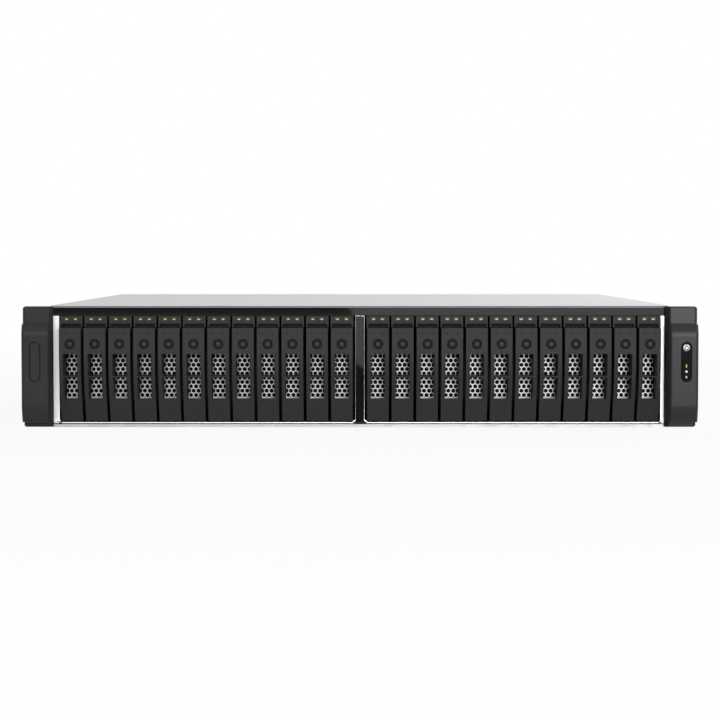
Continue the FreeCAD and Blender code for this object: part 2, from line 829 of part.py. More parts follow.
def make_lever():
    """Lever of one bay: moulded grip with two vent windows, knuckle and round lock."""
    lever = new_body("lever_grip")
    half = LEVER_HALF
    pad(lever, "X", -half, half, lever_outline())
    face = FRONT - size("lever_front")
    pivot_y, pivot_z = lever_pivot()
    tongue = TRAY_HALF - size("cheek_thick") - SLIP
    room = size("knuckle_radius") + size("knuckle_room")
    notch = rectangle(FRONT - size("lever_back"), pivot_z - room,
                      pivot_y + room, size("shelf_height"))
    pocket(lever, "X", -half, -tongue, notch)
    pocket(lever, "X", tongue, half, notch)
    bar_top = WINDOW_TOP - size("window_upper")
    pocket(lever, "Y", face, FRONT,
           rectangle(-WINDOW_HALF, bar_top, WINDOW_HALF, WINDOW_TOP),
           rectangle(-WINDOW_HALF, size("window_bottom"), WINDOW_HALF, bar_top - size("window_bar")))
    pocket(lever, "Y", face, face + size("lock_depth"),
           ngon(0, LOCK_HEIGHT, size("lock_radius") + size("lock_fit"), LOCK_SIDES))
    pocket(lever, "X", -half, half, ngon(
        pivot_y, pivot_z, around(size("pin_radius") + size("pin_fit"), PIN_SIDES), PIN_SIDES))
    lock = new_body("lock")
    pad(lock, "Y", face + size("lock_fit"), face + size("lock_depth"),
        ngon(0, LOCK_HEIGHT, size("lock_radius"), LOCK_SIDES))
    return node("lever_of_one_bay", lever, lock)


def bay_centres():
    """X of each bay, left to right."""
    centres = []
    for bank in (-1, 1):
        for number in range(BAYS_PER_BANK):
            step = number if bank > 0 else BAYS_PER_BANK - 1 - number
            centres.append((size("bank_gap") / 2 + BAY_PITCH * (step + 0.5)) * bank)
    return centres


def make_backplane():
    """Circuit board across the back of the cage, with one socket for each drive."""
    body = new_body("backplane")
    outer = HALF - SHEET - SLIP
    pad(body, "Y", BACKPLANE, BACKPLANE + size("board_thick"),
        rectangle(-outer, SHEET, outer, COVER_UNDER - size("backplane_top_gap")))
    half = size("socket_width") / 2
    low = size("socket_bottom")
    for start in bank_starts():
        middle = start + BAY_PITCH / 2
        socket = pad(body, "Y", BACKPLANE - size("socket_depth"), BACKPLANE,
                     rectangle(middle - half, low, middle + half, low + size("socket_height")))
        repeat(body, socket, "X_Axis", BAYS_PER_BANK, BAY_PITCH)
    return body


def make_mainboard():
    """Board on standoffs with a finned heat sink and memory modules."""
    body = new_body("mainboard")
    right = HALF - size("board_side_gap")
    left = PORTS_LEFT + size("board_supply_gap")
    back = REAR - SHEET - size("mainboard_setback")
    front = FAN_BACK + size("board_fan_gap")
    under = BOARD_TOP - size("board_thick")
    pad(body, "Z", under, BOARD_TOP, rectangle(left, front, right, back))
    inset = size("standoff_inset")
    side = size("standoff_side")
    for x in (left + inset, right - inset - side):
        for y in (front + inset, back - inset - side):
            pad(body, "Z", SHEET, under, rectangle(x, y, x + side, y + side))
    sink = size("sink_side")
    sink_left = (left + right - sink) / 2
    sink_front = front + inset
    base_top = BOARD_TOP + size("sink_base")
    pad(body, "Z", BOARD_TOP, base_top,
        rectangle(sink_left, sink_front, sink_left + sink, sink_front + sink))
    fin = pad(body, "Z", base_top, BOARD_TOP + size("sink_height"),
              rectangle(sink_left, sink_front, sink_left + size("fin_thick"), sink_front + sink))
    repeat(body, fin, "X_Axis", HEAT_SINK_FINS,
           (sink - size("fin_thick")) / (HEAT_SINK_FINS - 1))
    module_left = sink_left + sink + size("module_gap")
    module = pad(body, "Z", BOARD_TOP, BOARD_TOP + size("module_height"),
                 rectangle(module_left, sink_front, module_left + size("module_thick"),
                           sink_front + size("module_length")))
    repeat(body, module, "X_Axis", MEMORY_MODULES, size("module_pitch"))
    return body


def make_port(kind, number):
    """Open metal shell of one port on the board's rear edge, with its face plate."""
    body = new_body("port_%d" % (number + 1))
    wall = size("port_wall")
    width = size(kind + "_width")
    height = size(kind + "_height")
    plate_left = PORTS_LEFT + SLIP + size("port_spacing") * number
    plate_right = plate_left + size("port_spacing") - SLIP
    left = (plate_left + plate_right - width) / 2
    back = REAR + size("port_proud")
    front = back - size("port_depth")
    pad(body, "Y", front, back,
        rectangle(left - wall, PORT_Z - wall, left + width + wall, PORT_Z + height + wall))
    pad(body, "Y", REAR - SHEET, REAR,
        rectangle(plate_left, SHEET + SLIP, plate_right, PORT_FACE_TOP))
    pocket(body, "Y", front + wall, back,
           rectangle(left, PORT_Z, left + width, PORT_Z + height))
    return body


def make_rear_panel():
    """Rear plate above the ports, and the covers of its expansion slots."""
    panel = new_body("rear_panel")
    low = PORT_FACE_TOP + SLIP
    pad(panel, "Y", REAR - SHEET, REAR,
        rectangle(PORTS_LEFT + SLIP, low, PORTS_RIGHT, REAR_TOP))
    pieces = [panel]
    pitch = size("cover_pitch")
    first = (PORTS_LEFT + PORTS_RIGHT + SLIP - pitch * SLOT_COVERS) / 2
    end = size("cover_end")
    for number in range(SLOT_COVERS):
        left = first + pitch * number
        cover = new_body("slot_cover_%d" % (number + 1))
        pad(cover, "Y", REAR, REAR + size("port_proud"),
            rectangle(left, low + end, left + pitch - size("cover_gap"), REAR_TOP - end))
        pieces.append(cover)
    return pieces


def make_ports():
    """Row of ports, with the plate and slot covers above them."""
    shells = [make_port(kind, number) for number, kind in enumerate(PORT_KINDS)]
    return node("rear_ports", *shells, *make_rear_panel())


def make_supply():
    """Power supply of the lower bay: case, mains inlet and pull handle."""
    body = new_body("supply")
    top = SUPPLY_BOTTOM + SUPPLY_HEIGHT
    pad(body, "Y", SUPPLY_FRONT, REAR,
        rectangle(SUPPLY_LEFT, SUPPLY_BOTTOM, SUPPLY_RIGHT, top))
    wall = size("supply_wall")
    inside = rectangle(SUPPLY_LEFT + wall, SUPPLY_BOTTOM + wall, SUPPLY_RIGHT - wall, top - wall)
    pocket(body, "Y", SUPPLY_FRONT, REAR - size("supply_rear_block"), inside)
    pad(body, "Y", SUPPLY_FRONT, SUPPLY_FRONT + wall, inside)
    middle = SUPPLY_BOTTOM + SUPPLY_HEIGHT / 2
    inlet_left = SUPPLY_LEFT + size("inlet_margin")
    half = size("inlet_height") / 2
    pocket(body, "Y", REAR - size("inlet_depth"), REAR,
           rectangle(inlet_left, middle - half, inlet_left + size("inlet_width"), middle + half))
    right = SUPPLY_RIGHT - size("handle_margin")
    left = right - size("handle_width")
    bar = size("handle_bar")
    rise = size("handle_height") / 2
    reach = REAR + size("handle_reach")
    pad(body, "Z", middle - rise, middle + rise, outline(
        (left, REAR), (left + bar, REAR), (left + bar, reach - bar), (right - bar, reach - bar),
        (right - bar, REAR), (right, REAR), (right, reach), (left, reach)))
    return node("supply_of_lower_bay", body)


def ear_outline():
    """Side view of an ear cover: top plate, raised grip, ramps and foot."""
    plate = FRONT - size("ear_plate")
    foot = FRONT - size("ear_foot")
    low = size("ear_bottom")
    return outline(
        (FRONT, low), (foot, low), (foot, size("foot_top")), (GRIP, size("grip_bottom")),
        (GRIP, GRIP_TOP), (plate, PLATE_BOTTOM), (plate, EAR_TOP), (FRONT, EAR_TOP))


def make_ear_cover(side):
    """Moulded cover with a soft grip and bevelled edges."""
    body = new_body("left_cover" if side < 0 else "right_cover")
    outer = RACK_HALF * side
    inner = HALF * side if side < 0 else HALF - size("ear_overlap")
    low, high = (outer, inner) if side < 0 else (inner, outer)
    base = pad(body, "X", low, high, ear_outline())

    def grip_edge(edge):
        return spans(edge, "X") and near(edge.CenterOfMass.y, GRIP)

    soft = dress(body, "Fillet", base, size("ear_soft"), grip_edge)

    def front_edge(edge, x):
        box = edge.BoundBox
        return box.XLength < TOUCH and near(box.XMin, x) and box.YMax < FRONT.value - TOUCH

    def outer_edge(edge):
        return front_edge(edge, outer)

    rounded = dress(body, "Chamfer", soft, size("ear_edge"), outer_edge)

    def inner_edge(edge):
        box = edge.BoundBox
        flat = box.ZLength < TOUCH
        end = near(box.ZMin, size("ear_bottom")) or near(box.ZMin, EAR_TOP)
        return front_edge(edge, inner) and not (flat and end)

    dress(body, "Chamfer", rounded, size("ear_chamfer"), inner_edge)
    centre = HOLE_COLUMN * side
    pocket(body, "Y", GRIP, GRIP + size("pill_depth"),
           pill(centre, PILL_HEIGHT, size("pill_length"), size("pill_radius")))
    room = size("rack_hole_radius") + SLIP
    pocket(body, "Y", FRONT - size("rack_screw_room"), FRONT, *[
        rectangle(centre - room, z - room, centre + room, z + room) for z in rack_hole_heights()])
    return body


def make_ear_flange(side):
    """Steel angle behind the cover: rack flange and a leg along the chassis wall."""
    body = new_body("left_flange" if side < 0 else "right_flange")
    outer = RACK_HALF * side
    low, high = (outer, -HALF) if side < 0 else (HALF, outer)
    back = FRONT + size("flange_thick")
    pad(body, "Y", FRONT, back, rectangle(low, size("ear_bottom"), high, EAR_TOP))
    leg = (HALF + size("leg_thick")) * side
    leg_low, leg_high = (leg, -HALF) if side < 0 else (HALF, leg)
    pad(body, "Y", back, back + size("flange_leg"),
        rectangle(leg_low, size("ear_bottom"), leg_high, COVER_UNDER))
    pocket(body, "Y", FRONT, back, *[
        Round(HOLE_COLUMN * side, z, size("rack_hole_radius")) for z in rack_hole_heights()])
    return body


def make_left_ear():
    """Left ear with a blank pill-shaped insert."""
    insert = new_body("blank_insert")
    groove = size("pill_groove")
    pad(insert, "Y", GRIP, GRIP + size("pill_depth"),
        pill(-HOLE_COLUMN, PILL_HEIGHT, size("pill_length") - groove * 2,
             size("pill_radius") - groove))
    return node("left_rack_ear", make_ear_cover(-1), make_ear_flange(-1), insert)


def make_right_ear():
    """Right ear with a glossy window, three lamps and the power button's well."""
    cover = make_ear_cover(1)
    floor = GRIP + size("pill_depth")
    well = size("button_radius") + size("button_fit")
    pocket(cover, "Y", floor, GRIP + size("button_length") + size("button_travel") * 2,
           rectangle(HOLE_COLUMN - well, BUTTON_HEIGHT - well,
                     HOLE_COLUMN + well, BUTTON_HEIGHT + well))
    window = new_body("indicator_window")
    face = GRIP + size("pill_inset")
    pad(window, "Y", face, floor,
        pill(HOLE_COLUMN, PILL_HEIGHT, size("pill_length"), size("pill_radius")),
        Round(HOLE_COLUMN, BUTTON_HEIGHT, well))
    lamps = []
    half = size("lamp_width") / 2
    for number in range(LAMPS):
        high = PILL_HEIGHT - size("lamp_drop") - size("lamp_pitch") * number + size("lamp_rise") / 2
        lamp = new_body("lamp_%d" % (number + 1))
        pad(lamp, "Y", face - size("lamp_proud"), face,
            rectangle(HOLE_COLUMN - half, high - size("lamp_rise"), HOLE_COLUMN + half, high))
        lamps.append(lamp)
    return node("right_rack_ear", cover, make_ear_flange(1), window, *lamps)


def make_button():
    """Round power button with a bevelled face."""
    body = new_body("button")
    base = pad(body, "Y", GRIP, GRIP + size("button_length"),
               Round(HOLE_COLUMN, BUTTON_HEIGHT, size("button_radius")))

    def rim(edge):
        return near(edge.BoundBox.YMin, GRIP) and near(edge.BoundBox.YMax, GRIP)

    dress(body, "Chamfer", base, size("button_dome"), rim)
    return node("power_button", body)


def make_all():
    """Every named sub-part of the server."""
    nodes = [make_tub(), make_cover(), make_left_ear(), make_right_ear(), make_button()]
    cage = make_cage_front() + [make_cage_shell()]
    for number in range(FANS):
        cage.append(make_fan_frame(fan_centre(number), number + 1))
        nodes.append(make_fan_rotor(fan_centre(number), number + 1))
    nodes.append(node("drive_cage", *cage))
    nodes.append(node("circuit_boards", make_backplane(), make_mainboard()))
    nodes.append(make_ports())
    supply = make_supply()
    for number in range(SUPPLIES):
        nodes.append(copy_at(supply, "power_supply_%d" % (number + 1), 0.0, SUPPLY_STEP * number))
    tray = make_tray()
    lever = make_lever()
    for number, x in enumerate(bay_centres(), start=1):
        nodes.append(copy_at(tray, "drive_tray_%02d" % number, x))
        nodes.append(copy_at(lever, "tray_lever_%02d" % number, x))
    return nodes


def check_and_write(nodes):
    """Stops on any failed object, then writes one file for each sub-part."""
    for thing in doc.Objects:
        if "Invalid" in thing.State or "Error" in thing.State:
            raise RuntimeError("failed object: %s" % thing.Label)
    shapes = {}
    for item in nodes:
        shape = Part.getShape(item)
        if shape.isNull() or not shape.isValid():
            raise RuntimeError("bad shape: %s" % item.Label)
        shapes[item.Label] = shape
    os.makedirs("parts", exist_ok=True)
    for label, shape in shapes.items():
        shape.exportStep("parts/%s.step" % label)


parts = make_all()
doc.recompute()
check_and_write(parts)
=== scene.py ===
import math

import bmesh
import bpy
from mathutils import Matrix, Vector


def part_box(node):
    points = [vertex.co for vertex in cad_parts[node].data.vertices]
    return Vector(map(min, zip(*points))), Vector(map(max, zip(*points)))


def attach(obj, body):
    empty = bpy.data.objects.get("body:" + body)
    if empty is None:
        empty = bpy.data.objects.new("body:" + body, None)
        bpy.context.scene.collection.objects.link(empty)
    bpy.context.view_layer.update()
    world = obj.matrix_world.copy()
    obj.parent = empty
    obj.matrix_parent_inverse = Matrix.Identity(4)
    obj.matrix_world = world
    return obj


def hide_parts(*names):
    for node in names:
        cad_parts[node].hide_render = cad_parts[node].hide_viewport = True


bl_info = {
    "name": "Rack Storage Server",
    "version": (1, 0, 0),
    "blender": (4, 5, 0),
    "location": "3D View > Sidebar > Server",
    "description": "Dresses a two-unit rack storage server with 24 upright drive trays",
    "category": "Object",
}

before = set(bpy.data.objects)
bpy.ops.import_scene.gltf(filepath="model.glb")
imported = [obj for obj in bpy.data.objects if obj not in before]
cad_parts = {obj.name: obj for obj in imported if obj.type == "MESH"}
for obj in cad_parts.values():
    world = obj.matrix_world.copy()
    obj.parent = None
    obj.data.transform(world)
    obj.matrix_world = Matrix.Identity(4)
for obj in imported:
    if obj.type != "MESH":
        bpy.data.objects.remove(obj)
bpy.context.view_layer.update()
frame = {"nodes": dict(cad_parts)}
NODES = frame["nodes"]
MM = 0.001
BAYS = range(1, 25)
TUB_LOW, TUB_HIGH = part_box("chassis_tub")
FRONT = TUB_LOW.y
REAR = TUB_HIGH.y
HALF = TUB_HIGH.x
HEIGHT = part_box("top_cover")[1].z
RACK_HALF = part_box("right_rack_ear")[1].x
SIDES = (-1, 1)
# Points nearer to each other than this are one point
SAME_POINT = 0.01 * MM


def linear(code):
    """An sRGB hex colour as linear red, green and blue."""
    parts = [int(code[i:i + 2], 16) / 255 for i in (0, 2, 4)]
    return tuple(p / 12.92 if p <= 0.04045 else ((p + 0.055) / 1.055) ** 2.4 for p in parts)


def length(about, value_mm):
    return bpy.props.FloatProperty(description=about, default=value_mm * MM, min=0.0, unit="LENGTH")


def colour(about, code):
    return bpy.props.FloatVectorProperty(description=about, default=linear(code), size=3, min=0.0,
                                         max=1.0, subtype="COLOR")


class LeverSizes(bpy.types.PropertyGroup):
    """Sizes of one tray lever, seen from the side and from the front."""

    half: length("Half of the lever's width", 7.8)
    front: length("How far the flat face stands in front of the chassis", 13.0)
    back: length("How far the lever's back stands in front of the chassis", 1.0)
    top: length("Height of the lever's top edge", 71.9)
    bend_top: length("Height where the flat face turns into the bend", 52.4)
    bend_drop: length("Height of the bend", 28.4)
    bend_back: length("Depth of the bend", 5.5)
    foot: length("Length of the straight foot below the bend", 17.9)
    toe: length("How far the foot's face runs on below the knuckle's front", 3.2)
    knuckle: length("Radius of the hinge knuckle", 4.2)
    pin: length("Radius of the hinge pin's bore", 1.35)
    tongue: length("Half width of the knuckle between the tray's cheeks", 6.5)
    window_half: length("Half of a vent window's width", 5.0)
    window_top: length("Top of the upper window", 53.3)
    bar_top: length("Top of the bar between the windows", 38.0)
    bar_low: length("Bottom of the bar between the windows", 36.4)
    window_low: length("Bottom of the lower window", 20.8)
    lock_z: length("Height of the round lock", 60.5)
    lock_radius: length("Radius of the round lock", 3.3)
    edge: length("Rounding of the moulded edges", 0.4)


class TraySizes(bpy.types.PropertyGroup):
    """Sizes of one drive tray."""

    half: length("Half of the tray frame's width", 7.8)
    sheet: length("Wall of the tray frame", 2.2)
    low: length("Height of the tray's underside", 4.8)
    top: length("Height of the tray's top", 79.9)
    face: length("How far the front web stands behind the chassis front", 0.4)
    back: length("From the front web to the tray's end", 139.6)
    shelf: length("Height of the shelf over the lever's knuckle", 17.5)
    reach: length("Depth of that shelf", 11.2)
    cap_half: length("Half of the light cap's width", 8.2)
    cap_low: length("Underside of the light cap", 74.7)
    cap_top: length("Top of the light cap", 80.3)
    cap_front: length("How far the cap stands in front of the chassis", 4.2)
    light_x: length("From the bay's middle to each light", 3.2)
    light_z: length("Height of the lights", 78.3)
    cap_leg: length("Width of the cap's legs beside the slit", 1.3)
    plate_back: length("How far the vent plate lies behind the tray's face", 12.1)
    hole_pitch: length("Spacing of the round holes in the vent plate", 3.63)
    hole_radius: length("Radius of those holes", 1.48)
    hole_low: length("Height of the lowest row of holes", 22.5)
    plate_half: length("Half of the vent plate's width", 5.2)


class EarSizes(bpy.types.PropertyGroup):
    """Sizes of the rack ears and the power button."""

    plate: length("How far the ear's upper plate stands out", 14.0)
    grip: length("How far the raised grip stands out", 22.0)
    lean: length("How far the upper plate leans back at its top", 0.5)
    foot: length("How far the ear's foot stands out", 9.0)
    low: length("Underside of the ear", 0.8)
    top: length("Top of the ear", 87.4)
    plate_low: length("Where the upper ramp begins", 75.0)
    grip_top: length("Where the grip begins", 68.8)
    grip_low: length("Where the grip ends", 14.4)
    foot_top: length("Where the lower ramp ends", 4.8)
    overlap: length("How far the right ear laps over the chassis", 3.2)
    overlap_left: length("How far the left ear laps over the chassis", 1.5)
    step_high: length("Sharp step where the grip rises from the plate", 5.5)
    step_low: length("Sharp step where the grip drops to the foot", 9.5)
    outer_round: length("Rounding along the outer edge", 2.2)
    inner_wide: length("Width of the right ear's sloping inner side", 3.2)
    inner_wide_left: length("Width of the left ear's sloping inner side", 1.3)
    inner_deep: length("How far the sloping inner sides reach back", 10.0)
    soft: length("Rounding across the grip's ends", 3.0)
    pill_x: length("From the middle of the server to the right pill", 232.55)
    pill_left: length("From the middle of the server to the left pill", 231.6)
    pill_z: length("Height of the pill's middle", 48.1)
    pill_length: length("Length of the pill-shaped recess", 28.9)
    pill_radius: length("Radius of its round ends", 4.05)
    button_z: length("Height of the power button", 58.3)
    button_radius: length("Radius of the power button", 2.8)


class FinishColours(bpy.types.PropertyGroup):
    """Colours of the finishes."""

    lever: colour("Moulded lever plastic", "282A2A")
    tray: colour("Moulded tray plastic", "1A1B1B")
    ear: colour("Moulded ear plastic", "292A2B")
    gloss: colour("Glossy acrylic strips", "1B1B1C")
    frame: colour("Bright front frame", "FAFAFA")
    cover: colour("Painted cover", "D8D8DB")
    steel: colour("Zinc-coated steel", "A6A8AA")
    # Near white: the plate's own bright zinc, lightened further as painted light, as it lies deep behind
    # the lever.
    plate: colour("Perforated steel plate", "F6F6F3")
    board: colour("Circuit board lacquer", "174A2A")
    light: colour("Lit tray light", "CBE066")


# Materials

def feed(tree, node, sources):
    """Links a node's inputs, by name or number. A node as source gives its first output in use."""
    for key, source in sources.items():
        if isinstance(source, bpy.types.Node):
            source = next(output for output in source.outputs if output.enabled)
        tree.links.new(source, node.inputs[key])


def add_node(tree, kind, settings=None, links=None):
    """Adds a node, sets its values and inputs, and links its inputs."""
    node = tree.nodes.new(kind)
    for key, value in (settings or {}).items():
        if key in node.inputs:
            node.inputs[key].default_value = value
        else:
            setattr(node, key, value)
    feed(tree, node, links or {})
    return node


def new_material(name, settings):
    """A material with one shader, which holds the values that are the same all over."""
    material = bpy.data.materials.new(name)
    material.use_nodes = True
    tree = material.node_tree
    tree.nodes.clear()
    shader = add_node(tree, "ShaderNodeBsdfPrincipled", settings)
    add_node(tree, "ShaderNodeOutputMaterial", None, {"Surface": shader})
    return material, tree, shader


def shade(rgb, factor):
    return tuple(min(1.0, c * factor) for c in rgb[:3]) + (1.0,)


def surface(tree, shader, rgb, tones, tone_by, rough, rough_by, relief, relief_by, wear_and_highlight=()):
    """Gives a shader a colour between two tones, a roughness between two limits and a relief.

    The relief is a strength and a depth in mm. Each overlay, such as rubbed edges or a
    painted highlight, is a factor and its tone."""
    tone = add_node(tree, "ShaderNodeMix",
                    {"data_type": "RGBA", "A": shade(rgb, tones[0]), "B": shade(rgb, tones[1])},
                    {"Factor": tone_by})
    for factor, overlay_tone in wear_and_highlight:
        tone = add_node(tree, "ShaderNodeMix", {"data_type": "RGBA", "B": shade(rgb, overlay_tone)},
                        {"Factor": factor, "A": tone})
    limits = add_node(tree, "ShaderNodeMapRange", {"To Min": rough[0], "To Max": rough[1]},
                      {"Value": rough_by})
    bump = add_node(tree, "ShaderNodeBump", {"Strength": relief[0], "Distance": relief[1] * MM},
                    {"Height": relief_by})
    feed(tree, shader, {"Base Color": tone, "Roughness": limits, "Normal": bump})


def pattern(tree, kind, size_mm, settings=None, stretch=None):
    """A texture whose features have this size, laid over the piece's own space."""
    points = add_node(tree, "ShaderNodeTexCoord").outputs["Object"]
    if stretch:
        points = add_node(tree, "ShaderNodeMapping", {"Scale": stretch}, {"Vector": points})
    return add_node(tree, kind, {"Scale": 1.0 / (size_mm * MM), **(settings or {})},
                    {"Vector": points})


def moulded_abs(name, rgb, roughness, grain_mm=0.5, relief=0.12, wear=1.25, shine=0.2):
    """ABS, injection-moulded in a spark-eroded tool.

    The tool leaves a fine even grain that breaks up the shine, slow flow marks
    in the colour and slightly paler, rubbed edges."""
    material, tree, shader = new_material(name, {"IOR": 1.53, "Specular IOR Level": shine})
    flow = pattern(tree, "ShaderNodeTexNoise", 28.0, {"Detail": 3.0})
    # The real grain is about 0.1 mm; it is drawn coarser, so that it shows.
    grain = pattern(tree, "ShaderNodeTexNoise", grain_mm, {"Detail": 2.0})
    rim = add_node(tree, "ShaderNodeNewGeometry").outputs["Pointiness"]
    edge = add_node(tree, "ShaderNodeMapRange",
                    {"From Min": 0.52, "From Max": 0.62, "To Max": 0.6}, {"Value": rim})
    surface(tree, shader, rgb, (0.88, 1.12), flow, (roughness - 0.06, roughness + 0.06), grain,
            (relief, 0.05), grain, [(edge, wear)])
    return material


def polished_acrylic(name, rgb, roughness=0.025, shine=0.5):
    """Acrylic strip, cast and flame-polished.

    Nearly black in itself: the eye sees mostly the studio mirrored in it, with
    faint ripples and a little dust in the shine."""
    material, tree, shader = new_material(name, {"IOR": 1.56, "Specular IOR Level": shine})
    ripple = pattern(tree, "ShaderNodeTexNoise", 60.0, {"Detail": 1.0})
    dust = pattern(tree, "ShaderNodeTexNoise", 1.2, {"Detail": 4.0})
    surface(tree, shader, rgb, (0.85, 1.2), dust, (roughness * 0.7, roughness * 1.6), dust,
            (0.02, 0.1), ripple)
    return material


def brushed_metal(name, rgb, roughness, along, line_mm=0.4, metallic=1.0):
    """Sheet metal, brushed along one direction.

    Fine parallel scratches stretch the highlights across the brushing."""
    material, tree, shader = new_material(name, {"Metallic": metallic})
    stretch = [1.0, 1.0, 1.0]
    stretch["XYZ".index(along)] = 0.02
    # The scratches are about 0.05 mm wide; they are drawn coarser, so that they show.
    lines = pattern(tree, "ShaderNodeTexNoise", line_mm, {"Detail": 3.0}, stretch)
    surface(tree, shader, rgb, (0.93, 1.05), lines, (roughness - 0.05, roughness + 0.07), lines,
            (0.06, 0.03), lines)
    return material


def galvanised_steel(name, rgb, spangle_mm=9.0):
    """Steel sheet, hot-dip galvanised.

    Zinc freezes in flat crystals, so patches a few millimetres wide differ a
    little in tone and shine."""
    material, tree, shader = new_material(name, {"Metallic": 0.85})
    crystals = pattern(tree, "ShaderNodeTexVoronoi", spangle_mm)
    patch = add_node(tree, "ShaderNodeSeparateColor", None, {"Color": crystals.outputs["Color"]})
    fine = pattern(tree, "ShaderNodeTexNoise", 0.8, {"Detail": 4.0})
    surface(tree, shader, rgb, (0.92, 1.06), patch.outputs["Red"], (0.34, 0.5),
            patch.outputs["Green"], (0.05, 0.05), fine)
    return material


def painted_steel(name, rgb, roughness=0.6, flake_mm=0.6):
    """Steel sheet, folded, sprayed with metal-flake paint and stoved.

    The flakes give it a soft sheen and the spray a slight orange peel. Bends that
    turn to the front or back are painted pale, a painted highlight, and the faces
    that look straight to the front or back are drawn darker."""
    material, tree, shader = new_material(name, {"Metallic": 0.1, "Specular IOR Level": 0.25})
    # Flakes are about 0.03 mm; they are drawn coarser, so that they show.
    flakes = pattern(tree, "ShaderNodeTexVoronoi", flake_mm)
    spark = add_node(tree, "ShaderNodeSeparateColor", None, {"Color": flakes.outputs["Color"]})
    peel = pattern(tree, "ShaderNodeTexNoise", 1.6, {"Detail": 2.0})
    facing = add_node(tree, "ShaderNodeNewGeometry").outputs["True Normal"]
    axes = add_node(tree, "ShaderNodeSeparateXYZ", None, {"Vector": facing})
    ends = add_node(tree, "ShaderNodeMath", {"operation": "ABSOLUTE"}, {0: axes.outputs["Y"]})
    # Bends that turn partly to the front or back are painted paler: a painted highlight.
    bend = add_node(tree, "ShaderNodeMapRange", {"From Min": 0.05, "From Max": 0.3},
                    {"Value": ends})
    end_face = add_node(tree, "ShaderNodeMapRange", {"From Min": 0.88, "From Max": 0.96},
                        {"Value": ends})
    surface(tree, shader, rgb, (0.95, 1.05), spark.outputs["Blue"],
            (roughness - 0.05, roughness + 0.08), peel, (0.05, 0.05), peel,
            [(bend, 1.4), (end_face, 0.34)])
    return material


def lacquered_board(name, rgb):
    """Glass-fibre laminate, etched and lacquered.

    Copper tracks show through the green lacquer as paler lines."""
    material, tree, shader = new_material(name, {"IOR": 1.5, "Roughness": 0.4})
    tracks = pattern(tree, "ShaderNodeTexBrick", 12.0,
                     {"Mortar Size": 0.06, "Brick Width": 0.9, "Row Height": 0.16,
                      "Color1": shade(rgb, 0.9), "Color2": shade(rgb, 1.1),
                      "Mortar": shade(rgb, 2.0)})
    bump = add_node(tree, "ShaderNodeBump", {"Strength": 0.1, "Distance": 0.05 * MM},
                    {"Height": tracks.outputs["Fac"]})
    feed(tree, shader, {"Base Color": tracks, "Normal": bump})
    return material


def lit_lens(name, rgb, glow=0.6, dark=0.3):
    """Light pipe, moulded in clear acrylic and lit from behind.

    It glows in its own colour, a little unevenly, as the light spreads in it."""
    material, tree, shader = new_material(name, {"IOR": 1.49, "Roughness": 0.25,
                                                 "Base Color": shade(rgb, dark),
                                                 "Emission Strength": glow})
    cloud = pattern(tree, "ShaderNodeTexNoise", 0.9, {"Detail": 1.0})
    tone = add_node(tree, "ShaderNodeMix",
                    {"data_type": "RGBA", "A": shade(rgb, 0.9), "B": shade(rgb, 1.1)},
                    {"Factor": cloud})
    feed(tree, shader, {"Emission Color": tone})
    return material


MATERIALS = {}


